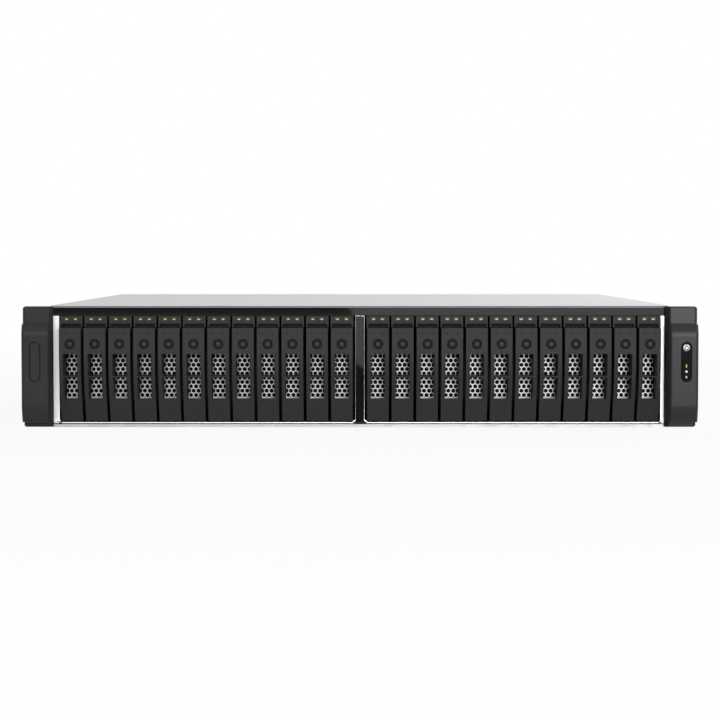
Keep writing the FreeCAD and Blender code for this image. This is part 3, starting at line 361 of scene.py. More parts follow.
def make_materials(c):
    """Every finish of the server, once."""
    MATERIALS.update({
        "lever": moulded_abs("Lever_ABS_spark_eroded", c.lever, 0.55),
        "lever_ring": moulded_abs("Lock_ring_ABS_fine_matt", shade(c.lever, 0.3), 0.75,
                                  grain_mm=0.4, relief=0.05, wear=1.05),
        "lever_knob": moulded_abs("Lock_knob_ABS_satin", shade(c.lever, 1.6), 0.5),
        "lever_mark": moulded_abs("Lever_mark_pad_printed", shade(c.lever, 0.4), 0.7,
                                  grain_mm=0.3, relief=0.05, wear=1.0),
        "tray": moulded_abs("Tray_ABS_spark_eroded", c.tray, 0.55),
        # A darker copy of the tray plastic: painted shade in the slit under the cap and on the duct walls.
        "slit": moulded_abs("Tray_recess_ABS_painted_shade", shade(c.tray, 0.45), 0.7,
                            grain_mm=0.6, relief=0.1, wear=1.0),
        "ear": moulded_abs("Ear_ABS_satin_moulded", c.ear, 0.32,
                           grain_mm=0.6, relief=0.1, shine=0.18),
        "ear_flank": moulded_abs("Ear_flank_ABS_coarse_matt", shade(c.ear, 1.1), 0.8,
                                 grain_mm=0.8, relief=0.1, wear=1.1, shine=0.06),
        "ear_insert": moulded_abs("Ear_insert_ABS_matt", shade(c.ear, 0.75), 0.55,
                                  grain_mm=0.6, relief=0.1),
        "gloss": polished_acrylic("Bezel_acrylic_polished", c.gloss),
        "window": polished_acrylic("Window_acrylic_smoked", shade(c.gloss, 0.4), 0.12, shine=0.05),
        "frame": brushed_metal("Frame_aluminium_brushed", c.frame, 0.3, "Z", 0.5, metallic=0.8),
        "cover": painted_steel("Cover_steel_silver_paint", c.cover),
        "tub": galvanised_steel("Chassis_steel_galvanised", c.steel),
        "cage": painted_steel("Cage_steel_black_paint", linear("0E0E0F"), 0.65),
        # The plate's colour is lightened as painted light for its place deep in the duct.
        "plate": brushed_metal("Vent_plate_steel_punched_painted_light", c.plate, 0.42, "X", 0.7, metallic=0.35),
        # The drive and the hinge pins are drawn nearly black: painted shade, as they lie deep in the trays.
        "drive": brushed_metal("Drive_aluminium_painted_shade", shade(c.steel, 0.06), 0.5, "Y", 0.8),
        "supply": galvanised_steel("Supply_steel_galvanised", shade(c.steel, 0.75), 6.0),
        "ports": brushed_metal("Port_steel_nickel_plated", shade(c.steel, 0.85), 0.3, "X", 0.6),
        "pin": brushed_metal("Contact_brass_gold_plated", linear("C8A04A"), 0.25, "Y", 0.3),
        "fan": moulded_abs("Fan_nylon_moulded", linear("1B1C1D"), 0.5),
        "inlet": moulded_abs("Inlet_nylon_moulded", linear("141415"), 0.45),
        "board": lacquered_board("Board_laminate_green_lacquer", c.board),
        "button": brushed_metal("Button_ABS_chrome_plated", linear("8F9093"), 0.3, "X", 0.3),
        "light": lit_lens("Tray_light_acrylic_green", c.light),
        "light_rim": lit_lens("Tray_light_rim_acrylic_green", linear("405C08"), 0.5, 0.4),
        "amber": lit_lens("Status_light_acrylic_amber", linear("E0BE6A")),
        "warm": lit_lens("Status_light_acrylic_warm_white", linear("E4D7B8"), 0.65),
        "cyan": lit_lens("Status_light_acrylic_cyan", linear("A9CDD2"), 0.55),
        "rear_green": lit_lens("Rear_light_acrylic_green", linear("58C040"), 0.8, 0.4),
    })


# Outlines and shapes

def arc(x, z, radius, start, end, steps):
    """Points on a round, from one angle to another in degrees."""
    angles = [math.radians(start + (end - start) * i / steps) for i in range(steps + 1)]
    return [(x + radius * math.cos(a), z + radius * math.sin(a)) for a in angles]


def circle(x, z, radius, sides=40):
    return arc(x, z, radius, 0, 360, sides)[:-1]


def rounded(x, z, wide, high, radius, steps=6):
    """Rectangle with round corners; a pill where the radius is half its width."""
    points = []
    for sx, sz, start in ((1, 1, 0), (-1, 1, 90), (-1, -1, 180), (1, -1, 270)):
        points += arc(x + sx * (wide / 2 - radius), z + sz * (high / 2 - radius), radius,
                      start, start + 90, steps)
    return points


def skin(bm, rings):
    """Faces between rings of points that follow each other, and over the two ends."""
    rows = [[bm.verts.new(point) for point in ring] for ring in rings]
    bm.faces.new(rows[0])
    bm.faces.new(rows[-1])
    for first, second in zip(rows, rows[1:]):
        for i in range(len(first)):
            j = (i + 1) % len(first)
            bm.faces.new((first[i], first[j], second[j], second[i]))
    bmesh.ops.recalc_face_normals(bm, faces=bm.faces)


def prism(outline, start, end, axis="Y"):
    """A bar with this outline. Along Y the outline is (x, z), along X it is (y, z)."""
    def draw(bm):
        skin(bm, [[(a, t, b) if axis == "Y" else (t, a, b) for a, b in outline]
                  for t in (start, end)])

    return draw


def block(low, high):
    return prism([(low[0], low[2]), (high[0], low[2]), (high[0], high[2]), (low[0], high[2])],
                 low[1], high[1])


def punched_sheet(left, low, right, high, y, thick, pitch, radius, first_x, first_z):
    """Sheet with staggered round holes, drawn as hexagons with a round hole in each."""
    sides = 18
    row = pitch * math.sqrt(0.75)
    margin = row * 0.6
    most_columns = 30
    sector = math.radians(60)

    def cell(bm, x, z):
        rim, hole, inner = [], [], []
        for s in range(sides):
            around = 2 * math.pi * s / sides
            a = around + math.pi / 2
            reach = pitch / 2 / math.cos(around % sector - sector / 2)
            rim.append(bm.verts.new((x + reach * math.cos(a), y, z + reach * math.sin(a))))
            dx, dz = radius * math.cos(a), radius * math.sin(a)
            hole.append(bm.verts.new((x + dx, y, z + dz)))
            inner.append(bm.verts.new((x + dx, y + thick, z + dz)))
        for s in range(sides):
            t = (s + 1) % sides
            bm.faces.new((rim[s], rim[t], hole[t], hole[s]))
            bm.faces.new((hole[s], hole[t], inner[t], inner[s]))

    def draw(bm):
        for k in range(-1, int((high - low) / row) + 3):
            z = first_z + row * k
            if z - margin < low or z + margin > high:
                continue
            for i in range(-most_columns, most_columns + 1):
                x = first_x + pitch * i + (pitch / 2 if k % 2 else 0.0)
                if left <= x <= right:
                    cell(bm, x, z)
        bmesh.ops.remove_doubles(bm, verts=bm.verts, dist=SAME_POINT)

    return draw


# Meshes and pieces

# Angles between neighbouring faces, in degrees, from which their edge is rounded or drawn sharp
ROUNDED_FROM = 32
FRAME_ROUNDED_FROM = 40
SHARP_FROM = 34


def start_mesh(shapes):
    """A mesh that holds the given shapes."""
    bm = bmesh.new()
    for draw in shapes:
        draw(bm)
    mesh = bpy.data.meshes.new("draft")
    bm.to_mesh(mesh)
    bm.free()
    return mesh


def draft(shapes):
    """An object with those shapes, to be worked on and thrown away."""
    item = bpy.data.objects.new("draft", start_mesh(shapes))
    bpy.context.scene.collection.objects.link(item)
    return item


def add_rounding(item, width, segments, from_angle):
    soften = item.modifiers.new("soften", "BEVEL")
    soften.width = width
    soften.segments = segments
    soften.limit_method = "ANGLE"
    soften.angle_limit = math.radians(from_angle)


def solid(shapes, cuts=(), edge=0.0, segments=2, smooth=True):
    """A finished mesh: shapes, cut by other groups of shapes, with rounded edges."""
    body = draft(shapes)
    used = [body]
    for group in cuts:
        tool = draft(group)
        used.append(tool)
        carve = body.modifiers.new("carve", "BOOLEAN")
        carve.operation = "DIFFERENCE"
        carve.solver = "EXACT"
        carve.object = tool
    if edge:
        add_rounding(body, edge, segments, ROUNDED_FROM)
    graph = bpy.context.evaluated_depsgraph_get()
    graph.update()
    mesh = bpy.data.meshes.new_from_object(body.evaluated_get(graph))
    for item in used:
        old = item.data
        bpy.data.objects.remove(item)
        bpy.data.meshes.remove(old)
    mesh.set_sharp_from_angle(angle=math.radians(SHARP_FROM))
    mesh.polygons.foreach_set("use_smooth", [smooth] * len(mesh.polygons))
    return mesh


def joined(name, parts):
    """One mesh from several, each with its own finish."""
    bm = bmesh.new()
    final = bpy.data.meshes.new(name)
    for index, (mesh, finish) in enumerate(parts):
        count = len(bm.faces)
        bm.from_mesh(mesh)
        bm.faces.ensure_lookup_table()
        for face in bm.faces[count:]:
            face.material_index = index
        final.materials.append(MATERIALS[finish])
        bpy.data.meshes.remove(mesh)
    bm.to_mesh(final)
    bm.free()
    return final


def place(name, mesh, body, nodes=(), at=(0.0, 0.0, 0.0)):
    """Sets a mesh in the scene on the body that carries it."""
    piece = bpy.data.objects.new(name, mesh)
    bpy.context.scene.collection.objects.link(piece)
    piece.location = at
    if mesh.polygons[0].use_smooth:
        even = piece.modifiers.new("even", "WEIGHTED_NORMAL")
        even.keep_sharp = True
    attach(piece, body)
    if nodes:
        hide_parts(*nodes)


def build(name, parts, body, nodes=()):
    """Sets a piece in the scene that joins several meshes, each with its own finish."""
    place(name, joined(name, parts), body, nodes)


def dress(node, finish, edge=0.0):
    """Gives a solid of the frame its finish, and its edges a slight rounding."""
    piece = NODES[node]
    piece.data.materials.clear()
    piece.data.materials.append(MATERIALS[finish])
    if edge:
        join = piece.modifiers.new("join", "WELD")
        join.merge_threshold = SAME_POINT
        add_rounding(piece, edge, 2, FRAME_ROUNDED_FROM)


def fill_bays(mesh, name, node):
    """Sets one copy of a mesh in every bay, on that bay's own body."""
    for number in BAYS:
        low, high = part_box("tray_lever_%02d" % number)
        place(name % number, mesh, name % number, (node % number,),
              ((low.x + high.x) / 2, 0.0, 0.0))


class SERVER_OT_finishes(bpy.types.Operator):
    """Make every finish and give the solids of the frame theirs"""

    bl_idname = "server.finishes"
    bl_label = "Finishes"

    def execute(self, context):
        make_materials(context.scene.server_colours)
        dress("chassis_tub", "tub", 0.15 * MM)
        dress("top_cover", "cover", 0.8 * MM)
        dress("circuit_boards", "board")
        dress("rear_ports", "ports", 0.12 * MM)
        for number in (1, 2):
            dress("power_supply_%d" % number, "supply", 0.4 * MM)
            dress("fan_rotor_%d" % number, "fan", 0.3 * MM)
        return {"FINISHED"}


def lever_profile(s):
    """The lever from the side, as (y, z) points, and its hinge."""
    radius = (s.bend_drop ** 2 + s.bend_back ** 2) / (2 * s.bend_back)
    sine = s.bend_drop / radius
    cosine = (radius - s.bend_back) / radius
    face = FRONT - s.front
    back = FRONT - s.back
    bend = arc(face + radius, s.bend_top, radius, 180, 180 + math.degrees(math.asin(sine)), 14)
    foot = (bend[-1][0] + s.foot * sine, bend[-1][1] - s.foot * cosine)
    toe = (foot[0] + s.toe * sine, foot[1] - s.toe * cosine)
    pivot = (foot[0] + s.knuckle * cosine, foot[1] + s.knuckle * sine)
    web = 60
    knuckle = arc(*pivot, s.knuckle, -90, web, 16)
    rise = (knuckle[-1][0] - back) / math.tan(math.radians(web))
    points = [(back, s.top), (face, s.top)] + bend + [toe] + knuckle
    return points + [(back, knuckle[-1][1] + rise)], pivot


class SERVER_OT_levers(bpy.types.Operator):
    """Mould the tray levers with their windows, knuckle and round lock"""

    bl_idname = "server.levers"
    bl_label = "Tray levers"

    def execute(self, context):
        s = context.scene.server_lever
        shelf = context.scene.server_tray.shelf
        profile, pivot = lever_profile(s)
        face = FRONT - s.front
        through, corner = 5 * MM, 0.6 * MM
        seat, play = face + 2.6 * MM, 0.25 * MM
        windows = []
        for low, high in ((s.window_low, s.bar_low), (s.bar_top, s.window_top)):
            outline = rounded(0, (low + high) / 2, 2 * s.window_half, high - low, corner, 3)
            windows.append(prism(outline, face - through, FRONT + through))
        lock_seat = prism(circle(0, s.lock_z, s.lock_radius + play), face - through, seat)
        pin_bore = prism(circle(*pivot, s.pin, 24), -s.half * 2, s.half * 2, "X")
        # Beside the knuckle there is room for the tray's cheeks, also while the lever swings.
        nose_radius, beyond = 3.0 * MM, 6 * MM
        nose = arc(*pivot, nose_radius, 180, 238, 6)
        room = [(nose[0][0], shelf)] + nose
        room += [(nose[-1][0], pivot[1] - beyond), (pivot[0] + beyond, pivot[1] - beyond),
                 (pivot[0] + beyond, shelf)]
        cheek_room = [prism(room, side * s.tongue, side * s.half * 2, "X") for side in SIDES]
        ring_face, knob_face, knob_back = face + 0.7 * MM, face + 0.1 * MM, face + 0.8 * MM
        knob_radius = s.lock_radius * 0.45
        ring = prism(circle(0, s.lock_z, s.lock_radius), ring_face, seat)
        knob = prism(circle(0, s.lock_z, knob_radius), knob_face, knob_back)
        mark_x, mark_z, mark_round = 3.65 * MM, 68.1 * MM, 0.6 * MM
        mark_wide, mark_tall, mark_proud, mark_sunk = 1.5 * MM, 1.3 * MM, 0.015 * MM, 0.2 * MM
        marks = [prism(rounded(side * mark_x, mark_z, mark_wide, mark_tall, mark_round, 4),
                       face - mark_proud, face + mark_sunk) for side in SIDES]
        grip = solid([prism(profile, -s.half, s.half, "X")],
                     (windows, [lock_seat], [pin_bore], cheek_room), edge=s.edge, segments=3)
        parts = [(grip, "lever"), (solid([ring], edge=0.3 * MM, segments=3), "lever_ring"),
                 (solid([knob], edge=0.2 * MM, segments=3), "lever_knob"), (solid(marks), "lever_mark")]
        fill_bays(joined("lever", parts), "lever_%02d", "tray_lever_%02d")
        return {"FINISHED"}


class SERVER_OT_trays(bpy.types.Operator):
    """Make the drive trays: frame, light cap, punched plate and drive"""

    bl_idname = "server.trays"
    bl_label = "Drive trays"

    def execute(self, context):
        s = context.scene.server_tray
        lever = context.scene.server_lever
        parts = self.shell(s, lever) + self.cap(s, lever) + self.vent(s, lever)
        fill_bays(joined("tray", parts), "tray_%02d", "drive_tray_%02d")
        return {"FINISHED"}

    def shell(self, s, lever):
        """The bent frame with its window, the two hinge cheeks and their pin."""
        w = s.sheet
        face = FRONT + s.face
        back = face + s.back
        reach = face + s.reach
        pivot = lever_profile(lever)[1]
        outline = [(face, s.shelf), (reach - w, s.shelf), (reach - w, s.low), (back, s.low),
                   (back, s.low + w), (reach, s.low + w), (reach, s.shelf + w),
                   (face + w, s.shelf + w), (face + w, s.top - w), (back, s.top - w),
                   (back, s.top), (face, s.top)]
        window = block((-lever.window_half, face - w, lever.window_low),
                       (lever.window_half, face + 2 * w, lever.window_top))
        nose = 2.6 * MM
        thick = 1.0 * MM
        overlap = 0.2 * MM
        tab = arc(*pivot, nose, 180, 270, 8)
        tab += [(reach - w + overlap, pivot[1] - nose), (reach - w + overlap, s.shelf + overlap),
                (pivot[0] - nose, s.shelf + overlap)]
        cheeks = [prism(tab, -s.half, thick - s.half, "X"), prism(tab, s.half - thick, s.half, "X")]
        pin_half, pin_radius = s.half - 0.1 * MM, 1.2 * MM
        pin = prism(circle(*pivot, pin_radius, 20), -pin_half, pin_half, "X")
        return [(solid([prism(outline, -s.half, s.half, "X")], ([window],), edge=0.25 * MM), "tray"),
                (solid(cheeks, edge=0.15 * MM), "tray"),
                # The pin takes the nearly black drive finish: painted shade.
                (solid([pin]), "drive")]

    def cap(self, s, lever):
        """The cap over the lever with its two legs and lights, and a dark block in the slit between them,
        painted shade.
        """
        face = FRONT + s.face
        front = FRONT - s.cap_front
        slit = s.cap_half - s.cap_leg
        low = lever.top + 0.3 * MM
        outline = [(-s.cap_half, low), (-slit, low), (-slit, s.cap_low), (slit, s.cap_low),
                   (slit, low), (s.cap_half, low), (s.cap_half, s.cap_top),
                   (-s.cap_half, s.cap_top)]
        wide, tall, corner, play = 3.2 * MM, 2.0 * MM, 0.85 * MM, 0.05 * MM
        rim_face, seat = front + 0.1 * MM, front + 0.6 * MM
        lens_drop, lens_tall, lens_corner = 0.35 * MM, 0.7 * MM, 0.3 * MM
        lens_face, lens_back = front - 0.15 * MM, front + 0.3 * MM
        seats, rims, lenses = [], [], []
        for x in (-s.light_x, s.light_x):
            seats.append(prism(rounded(x, s.light_z, wide + 2 * play, tall + 2 * play, corner + play),
                               front - 2 * MM, seat))
            rims.append(prism(rounded(x, s.light_z, wide, tall, corner), rim_face, seat))
            lenses.append(prism(rounded(x, s.light_z - lens_drop, wide / 2, lens_tall, lens_corner),
                                lens_face, lens_back))
        # A dark block fills the slit under the cap: painted shade.
        slit_face = FRONT - 1.6 * MM
        recess = block((-slit, slit_face, lever.top), (slit, face, s.cap_low))
        return [(solid([prism(outline, front, face)], (seats,), edge=0.35 * MM, segments=3), "lever"),
                (solid(rims, edge=0.1 * MM), "light_rim"),
                (solid(lenses, edge=0.15 * MM), "light"),
                (solid([recess], edge=0.2 * MM), "slit")]

    def vent(self, s, lever):
        """The duct behind the lever's windows, the punched plate at its end, and the drive."""
        w = s.sheet
        face = FRONT + s.face
        y = face + s.plate_back
        low = s.shelf + w
        high = lever.window_top + 1.2 * MM
        thick, wall, hole_deep = 0.7 * MM, 0.8 * MM, 0.5 * MM
        duct = block((-s.plate_half - wall, face + w, low),
                     (s.plate_half + wall, y + thick, high + wall))
        bore = block((-s.plate_half, face, low - MM), (s.plate_half, y + 2 * MM, high))
        holes = punched_sheet(-s.plate_half, low, s.plate_half, high + 2 * MM, y, hole_deep,
                              s.hole_pitch, s.hole_radius, 0.0, s.hole_low)
        sill_top = s.hole_low - 1.75 * MM
        sill = block((-s.plate_half, y, low), (s.plate_half, y + thick, sill_top))
        drive_half, drive_front = 7.4 * MM, face + 44.8 * MM
        drive_back, drive_top = face + s.back + 5.6 * MM, s.top - w - 0.85 * MM
        # The drive takes the nearly black drive finish: painted shade.
        drive = block((-drive_half, drive_front, s.low + w), (drive_half, drive_back, drive_top))
        # The duct's walls take the darker tray plastic: painted shade.
        return [(solid([duct], ([bore],)), "slit"),
                (start_mesh([holes]), "plate"),
                (solid([sill]), "plate"),
                (solid([drive], edge=0.5 * MM), "drive")]


class SERVER_OT_front(bpy.types.Operator):
    """Make the bright front frame, the glossy strips and the cage with its fans"""

    bl_idname = "server.front"
    bl_label = "Front frame and cage"

    sheet = 1.2 * MM
    low = 2.9 * MM
    floor = 3.6 * MM
    foot_half = 4.8 * MM
    foot_line = 4.6 * MM
    proud = 0.8 * MM

    def execute(self, context):
        self.front_frame()
        self.bezel()
        self.post_insert()
        self.cage()
        for number, side in enumerate(SIDES, 1):
            self.fan_frame(number, side * 70.0 * MM)
        return {"FINISHED"}

    def front_frame(self):
        high = 86.1 * MM
        plate = block((-HALF, FRONT, self.low), (HALF, FRONT + self.sheet, high))
        top = 80.7 * MM
        near = 3.3 * MM
        far = HALF - 5.7 * MM
        radius = 1.6 * MM
        outline = [(near, top), (far, top)]
        outline += arc(far - radius, self.floor + radius, radius, 0, -90, 8)
        # Beside the post the opening stops short, over the foot of the post's insert.
        outline += [(self.foot_half + 0.35 * MM, self.floor),
                    (self.foot_half + 0.25 * MM, self.foot_line)]
        outline += arc(near + radius, self.foot_line + radius, radius, 270, 180, 8)
        start, end, low, rise = 214.6 * MM, 217.3 * MM, 2.8 * MM, 1.4 * MM
        relief = [(start, low), (end, low), (end, low + rise)]
        cuts = [[prism([(side * x, z) for x, z in points], FRONT - self.sheet,
                       FRONT + 3 * self.sheet) for side in SIDES] for points in (outline, relief)]
        build("front_frame", [(solid([plate], cuts, edge=0.12 * MM), "frame")], "chassis",
              ("drive_cage",))

    def bezel(self):
        left, right = 1.6 * MM - HALF, HALF - 2.9 * MM
        low, high = 80.45 * MM, 86.4 * MM
        self.glossy("bezel_strip", block((left, FRONT - self.proud, low), (right, FRONT, high)))

    def post_insert(self):
        half = 3.1 * MM
        top = 80.25 * MM
        bend = 1.2 * MM
        foot_top = self.foot_line - 0.55 * MM
        right = arc(half + bend, foot_top + bend, bend, 180, 270, 8)
        right += [(self.foot_half, foot_top), (self.foot_half, self.low + 0.05 * MM)]
        outline = [(-half, top), (half, top)] + right + [(-x, z) for x, z in reversed(right)]
        self.glossy("post_insert", prism(outline, FRONT - self.proud, FRONT))

    def glossy(self, name, shape):
        """A glossy strip on the front frame, with crisp flat faces."""
        mesh = solid([shape], edge=0.2 * MM, segments=3, smooth=False)
        build(name, [(mesh, "gloss")], "chassis")

    def cage(self):
        inner = HALF - 1.5 * MM
        start = FRONT + self.sheet
        back = start + 150.0 * MM
        top = 82.8 * MM
        shell = block((-inner, start, self.low), (inner, back, top))
        bays = block((self.sheet - inner, FRONT, self.floor),
                     (inner - self.sheet, back + self.sheet, top - self.sheet))
        bay_pitch, bays_in_bank = 17.7 * MM, 12
        right_bank, left_bank = 4.125 * MM, -216.525 * MM
        rib_half, rib_tall, rib_sunk, rib_start = 0.45 * MM, 1.8 * MM, 0.2 * MM, start + 11.2 * MM
        ribs = []
        for first in (right_bank, left_bank):
            for i in range(bays_in_bank + 1):
                x = first + bay_pitch * i
                ribs.append(block((x - rib_half, rib_start, self.floor - rib_sunk),
                                  (x + rib_half, back, self.floor + rib_tall)))
        build("cage_shell", [(solid([shell], ([bays],)), "cage"), (solid(ribs), "cage")], "chassis")

    def fan_frame(self, number, x):
        z = 41.2 * MM
        half = 40 * MM
        low, high = -70.0 * MM, -32.0 * MM
        wall, through = 3 * MM, 5 * MM
        bore_radius, hub_radius, vent_radius, shaft_radius = 38.0 * MM, 17.0 * MM, 37.0 * MM, 2.0 * MM
        housing = block((x - half, low, z - half), (x + half, high, z + half))
        bore = prism(circle(x, z, bore_radius, 64), low - through, high - wall)
        # Four vents between the spokes, each over this angle in degrees
        sweep = 74
        vents = []
        for start in (8, 98, 188, 278):
            outline = arc(x, z, hub_radius, start, start + sweep, 10)
            outline += arc(x, z, vent_radius, start + sweep, start, 10)
            vents.append(prism(outline, high - wall - MM, high + through))
        shaft_front, shaft_back = high - 15 * MM, high - 2.5 * MM
        shaft = prism(circle(x, z, shaft_radius, 24), shaft_front, shaft_back)
        parts = [(solid([housing], ([bore], vents), edge=0.4 * MM), "fan"), (solid([shaft]), "ports")]
        build("fan_frame_%d" % number, parts, "chassis")


def softened(corners, steps=6):
    """A line of points with its corners rounded. Each corner is a point and its setback."""
    # Two roundings that share a side leave a little of it straight.
    most = 0.48
    points = []
    for i, (corner, setback) in enumerate(corners):
        if not setback:
            points.append(corner)
            continue
        here = Vector(corner)
        before = Vector(corners[i - 1][0]) - here
        after = Vector(corners[i + 1][0]) - here
        start = here + before.normalized() * min(setback, before.length * most)
        stop = here + after.normalized() * min(setback, after.length * most)
        for k in range(steps + 1):
            t = k / steps
            points.append(tuple(start * (1 - t) ** 2 + here * 2 * t * (1 - t) + stop * t ** 2))
    return points


def ear_cover(s, side):
    """The moulded cover of one ear: a grip that rises in steps, drawn in rings from the round
    outer edge to the sloping inner side."""
    outer = RACK_HALF * side
    inner = s.overlap_left - HALF if side < 0 else HALF - s.overlap
    wide = s.inner_wide_left if side < 0 else s.inner_wide
    slight = 1.0 * MM
    profile = softened([((0.0, s.low), 0.0), ((s.foot, s.low), slight),
                        ((s.foot, s.foot_top), slight / 2),
                        ((s.foot + s.step_low, s.foot_top), slight), ((s.grip, s.grip_low), s.soft),
                        ((s.grip, s.grip_top), s.soft),
                        ((s.plate + s.step_high, s.plate_low), slight),
                        ((s.plate, s.plate_low), slight / 2), ((s.plate - s.lean, s.top), slight),
                        ((0.0, s.top), 0.0)])

    def ring(x, inset, spare):
        low, high = s.low + spare, s.top - spare
        return [(x, FRONT - max(depth - inset, 0.0), min(max(z, low), high))
                for depth, z in profile]

    steps = 6
    turns = [math.pi / 2 * i / steps for i in range(steps + 1)]
    rings = []
    for a in turns:
        inset = s.outer_round * (1 - math.sin(a))
        rings.append(ring(outer - side * s.outer_round * (1 - math.cos(a)), inset, inset))
    for a in reversed(turns):
        rings.append(ring(inner + side * wide * (1 - math.cos(a)),
                          s.inner_deep * (1 - math.sin(a)), 0.0))

    def draw(bm):
        skin(bm, rings)

    return draw


def ear_flange(s, side):
    """The steel angle behind an ear's cover, with its two rack holes."""
    thick, leg_thick, leg_back, leg_top = 2.0 * MM, 1.4 * MM, 62.0 * MM, 86.8 * MM
    low, high = sorted(((RACK_HALF - 0.05 * MM) * side, HALF * side))
    leg_low, leg_high = sorted((HALF * side, (HALF + leg_thick) * side))
    angle = [block((low, FRONT, s.low), (high, FRONT + thick, s.top)),
             block((leg_low, FRONT + thick - 0.1 * MM, s.low), (leg_high, FRONT + leg_back, leg_top))]
    hole_x = (RACK_HALF - 8.75 * MM) * side
    hole_z = 5.9 * MM
    hole_radius = 2.75 * MM
    holes = [prism(circle(hole_x, z, hole_radius), FRONT - MM, FRONT + 2 * thick)
             for z in (hole_z, HEIGHT - hole_z)]
    return solid(angle, (holes,), edge=0.15 * MM)


class SERVER_OT_ears(bpy.types.Operator):
    """Mould both rack ears with the blank insert, the window and its lights"""

    bl_idname = "server.ears"
    bl_label = "Rack ears"

    def execute(self, context):
        s = context.scene.server_ear
        self.ear(s, -1, "left", [], self.blank_insert(s))
        play, start, end = 0.3 * MM, FRONT - s.grip + 0.2 * MM, FRONT - s.grip + 7 * MM
        button_hole = prism(circle(s.pill_x, s.button_z, s.button_radius + play), start, end)
        self.ear(s, 1, "right", [[button_hole]], self.window(s, button_hole))
        return {"FINISHED"}

    def pill(self, s, x, shrink, start, end):
        """A pill of the recess's size less a margin, between two depths under the grip's face."""
        radius = s.pill_radius - shrink
        # A hair less than half the width, so that no two points fall together.
        hair = 0.001 * MM
        outline = rounded(x, s.pill_z, 2 * radius, s.pill_length - 2 * shrink, radius - hair, 10)
        return prism(outline, FRONT - s.grip + start, FRONT - s.grip + end)

    def blank_insert(self, s):
        floor = self.pill(s, -s.pill_left, shrink=0.02 * MM, start=1.0 * MM, end=1.95 * MM)
        insert = self.pill(s, -s.pill_left, shrink=0.8 * MM, start=0.2 * MM, end=1.2 * MM)
        return [(solid([floor]), "ear_flank"), (solid([insert], edge=0.25 * MM, segments=3), "ear_insert")]

    def window(self, s, button_hole):
        pane = self.pill(s, s.pill_x, shrink=0.02 * MM, start=0.4 * MM, end=1.95 * MM)
        parts = [(solid([pane], ([button_hole],), edge=0.1 * MM), "window")]
        grip = FRONT - s.grip
        corner, lamp_face, lamp_back = 0.35 * MM, grip + 0.3 * MM, grip + 0.6 * MM
        # Each light: its finish, the height of its middle, its width and its own height in mm
        for finish, z, wide, tall in (("amber", 45.2, 0.8, 2.4), ("warm", 41.25, 1.6, 1.5),
                                      ("cyan", 37.3, 1.2, 1.5)):
            lamp = prism(rounded(s.pill_x, z * MM, wide * MM, tall * MM, corner), lamp_face, lamp_back)
            parts.append((solid([lamp], edge=0.08 * MM), finish))
        return parts

    def ear(self, s, side, name, more_cuts, fittings):
        x = s.pill_x if side > 0 else -s.pill_left
        recess = self.pill(s, x, shrink=0.0, start=-3 * MM, end=2.0 * MM)
        cover = solid([ear_cover(s, side)], [[recess]] + more_cuts, edge=0.12 * MM)
        mesh = joined("%s_ear" % name, [(cover, "ear"), (ear_flange(s, side), "tub")] + fittings)
        # The cover's inner side, where it slopes more than this, has a coarser, duller finish.
        slope = 0.5
        mesh.materials.append(MATERIALS["ear_flank"])
        for face in mesh.polygons:
            if face.material_index == 0 and face.normal.x * side < -slope:
                face.material_index = len(mesh.materials) - 1
        place("%s_ear" % name, mesh, "chassis", ("%s_rack_ear" % name,))


class SERVER_OT_button(bpy.types.Operator):
    """Turn the domed power button"""

    bl_idname = "server.button"
    bl_label = "Power button"

    # Rings of the dome, from its root to its dished middle: share of the radius and depth in mm
    dome_rings = ((1.0, 4.9), (1.0, 0.9), (0.97, 0.55), (0.88, 0.25), (0.7, 0.08), (0.45, 0.12),
                  (0.2, 0.2))

    def execute(self, context):
        s = context.scene.server_ear
        x, z, radius = s.pill_x, s.button_z, s.button_radius
        grip = FRONT - s.grip
        rings = [[(px, grip + depth * MM, pz) for px, pz in circle(x, z, radius * share, 48)]
                 for share, depth in self.dome_rings]

        def dome(bm):
            skin(bm, rings)

        ring_face, bar_face, mark_back = grip + 0.06 * MM, grip + 0.05 * MM, grip + 0.5 * MM
        ring_outer, ring_inner = radius * 0.56, radius * 0.36
        ring = prism(circle(x, z, ring_outer), ring_face, mark_back)
        ring_middle = prism(circle(x, z, ring_inner), grip - MM, grip + MM)
        bar_half, bar_low, bar_high = 0.2 * MM, z + 0.3 * MM, z + radius * 0.72
        bar = block((x - bar_half, bar_face, bar_low), (x + bar_half, mark_back, bar_high))
        parts = [(solid([dome]), "button"), (solid([ring], ([ring_middle],)), "inlet"),
                 (solid([bar]), "inlet")]
        build("button", parts, "button", ("power_button",))
        return {"FINISHED"}


def rear_block(x, z, half_wide, half_tall, start, end):
    """A block about a point of the rear wall. Its half sizes and its two depths are in mm."""
    return block((x - half_wide * MM, REAR + start * MM, z - half_tall * MM),
                 (x + half_wide * MM, REAR + end * MM, z + half_tall * MM))


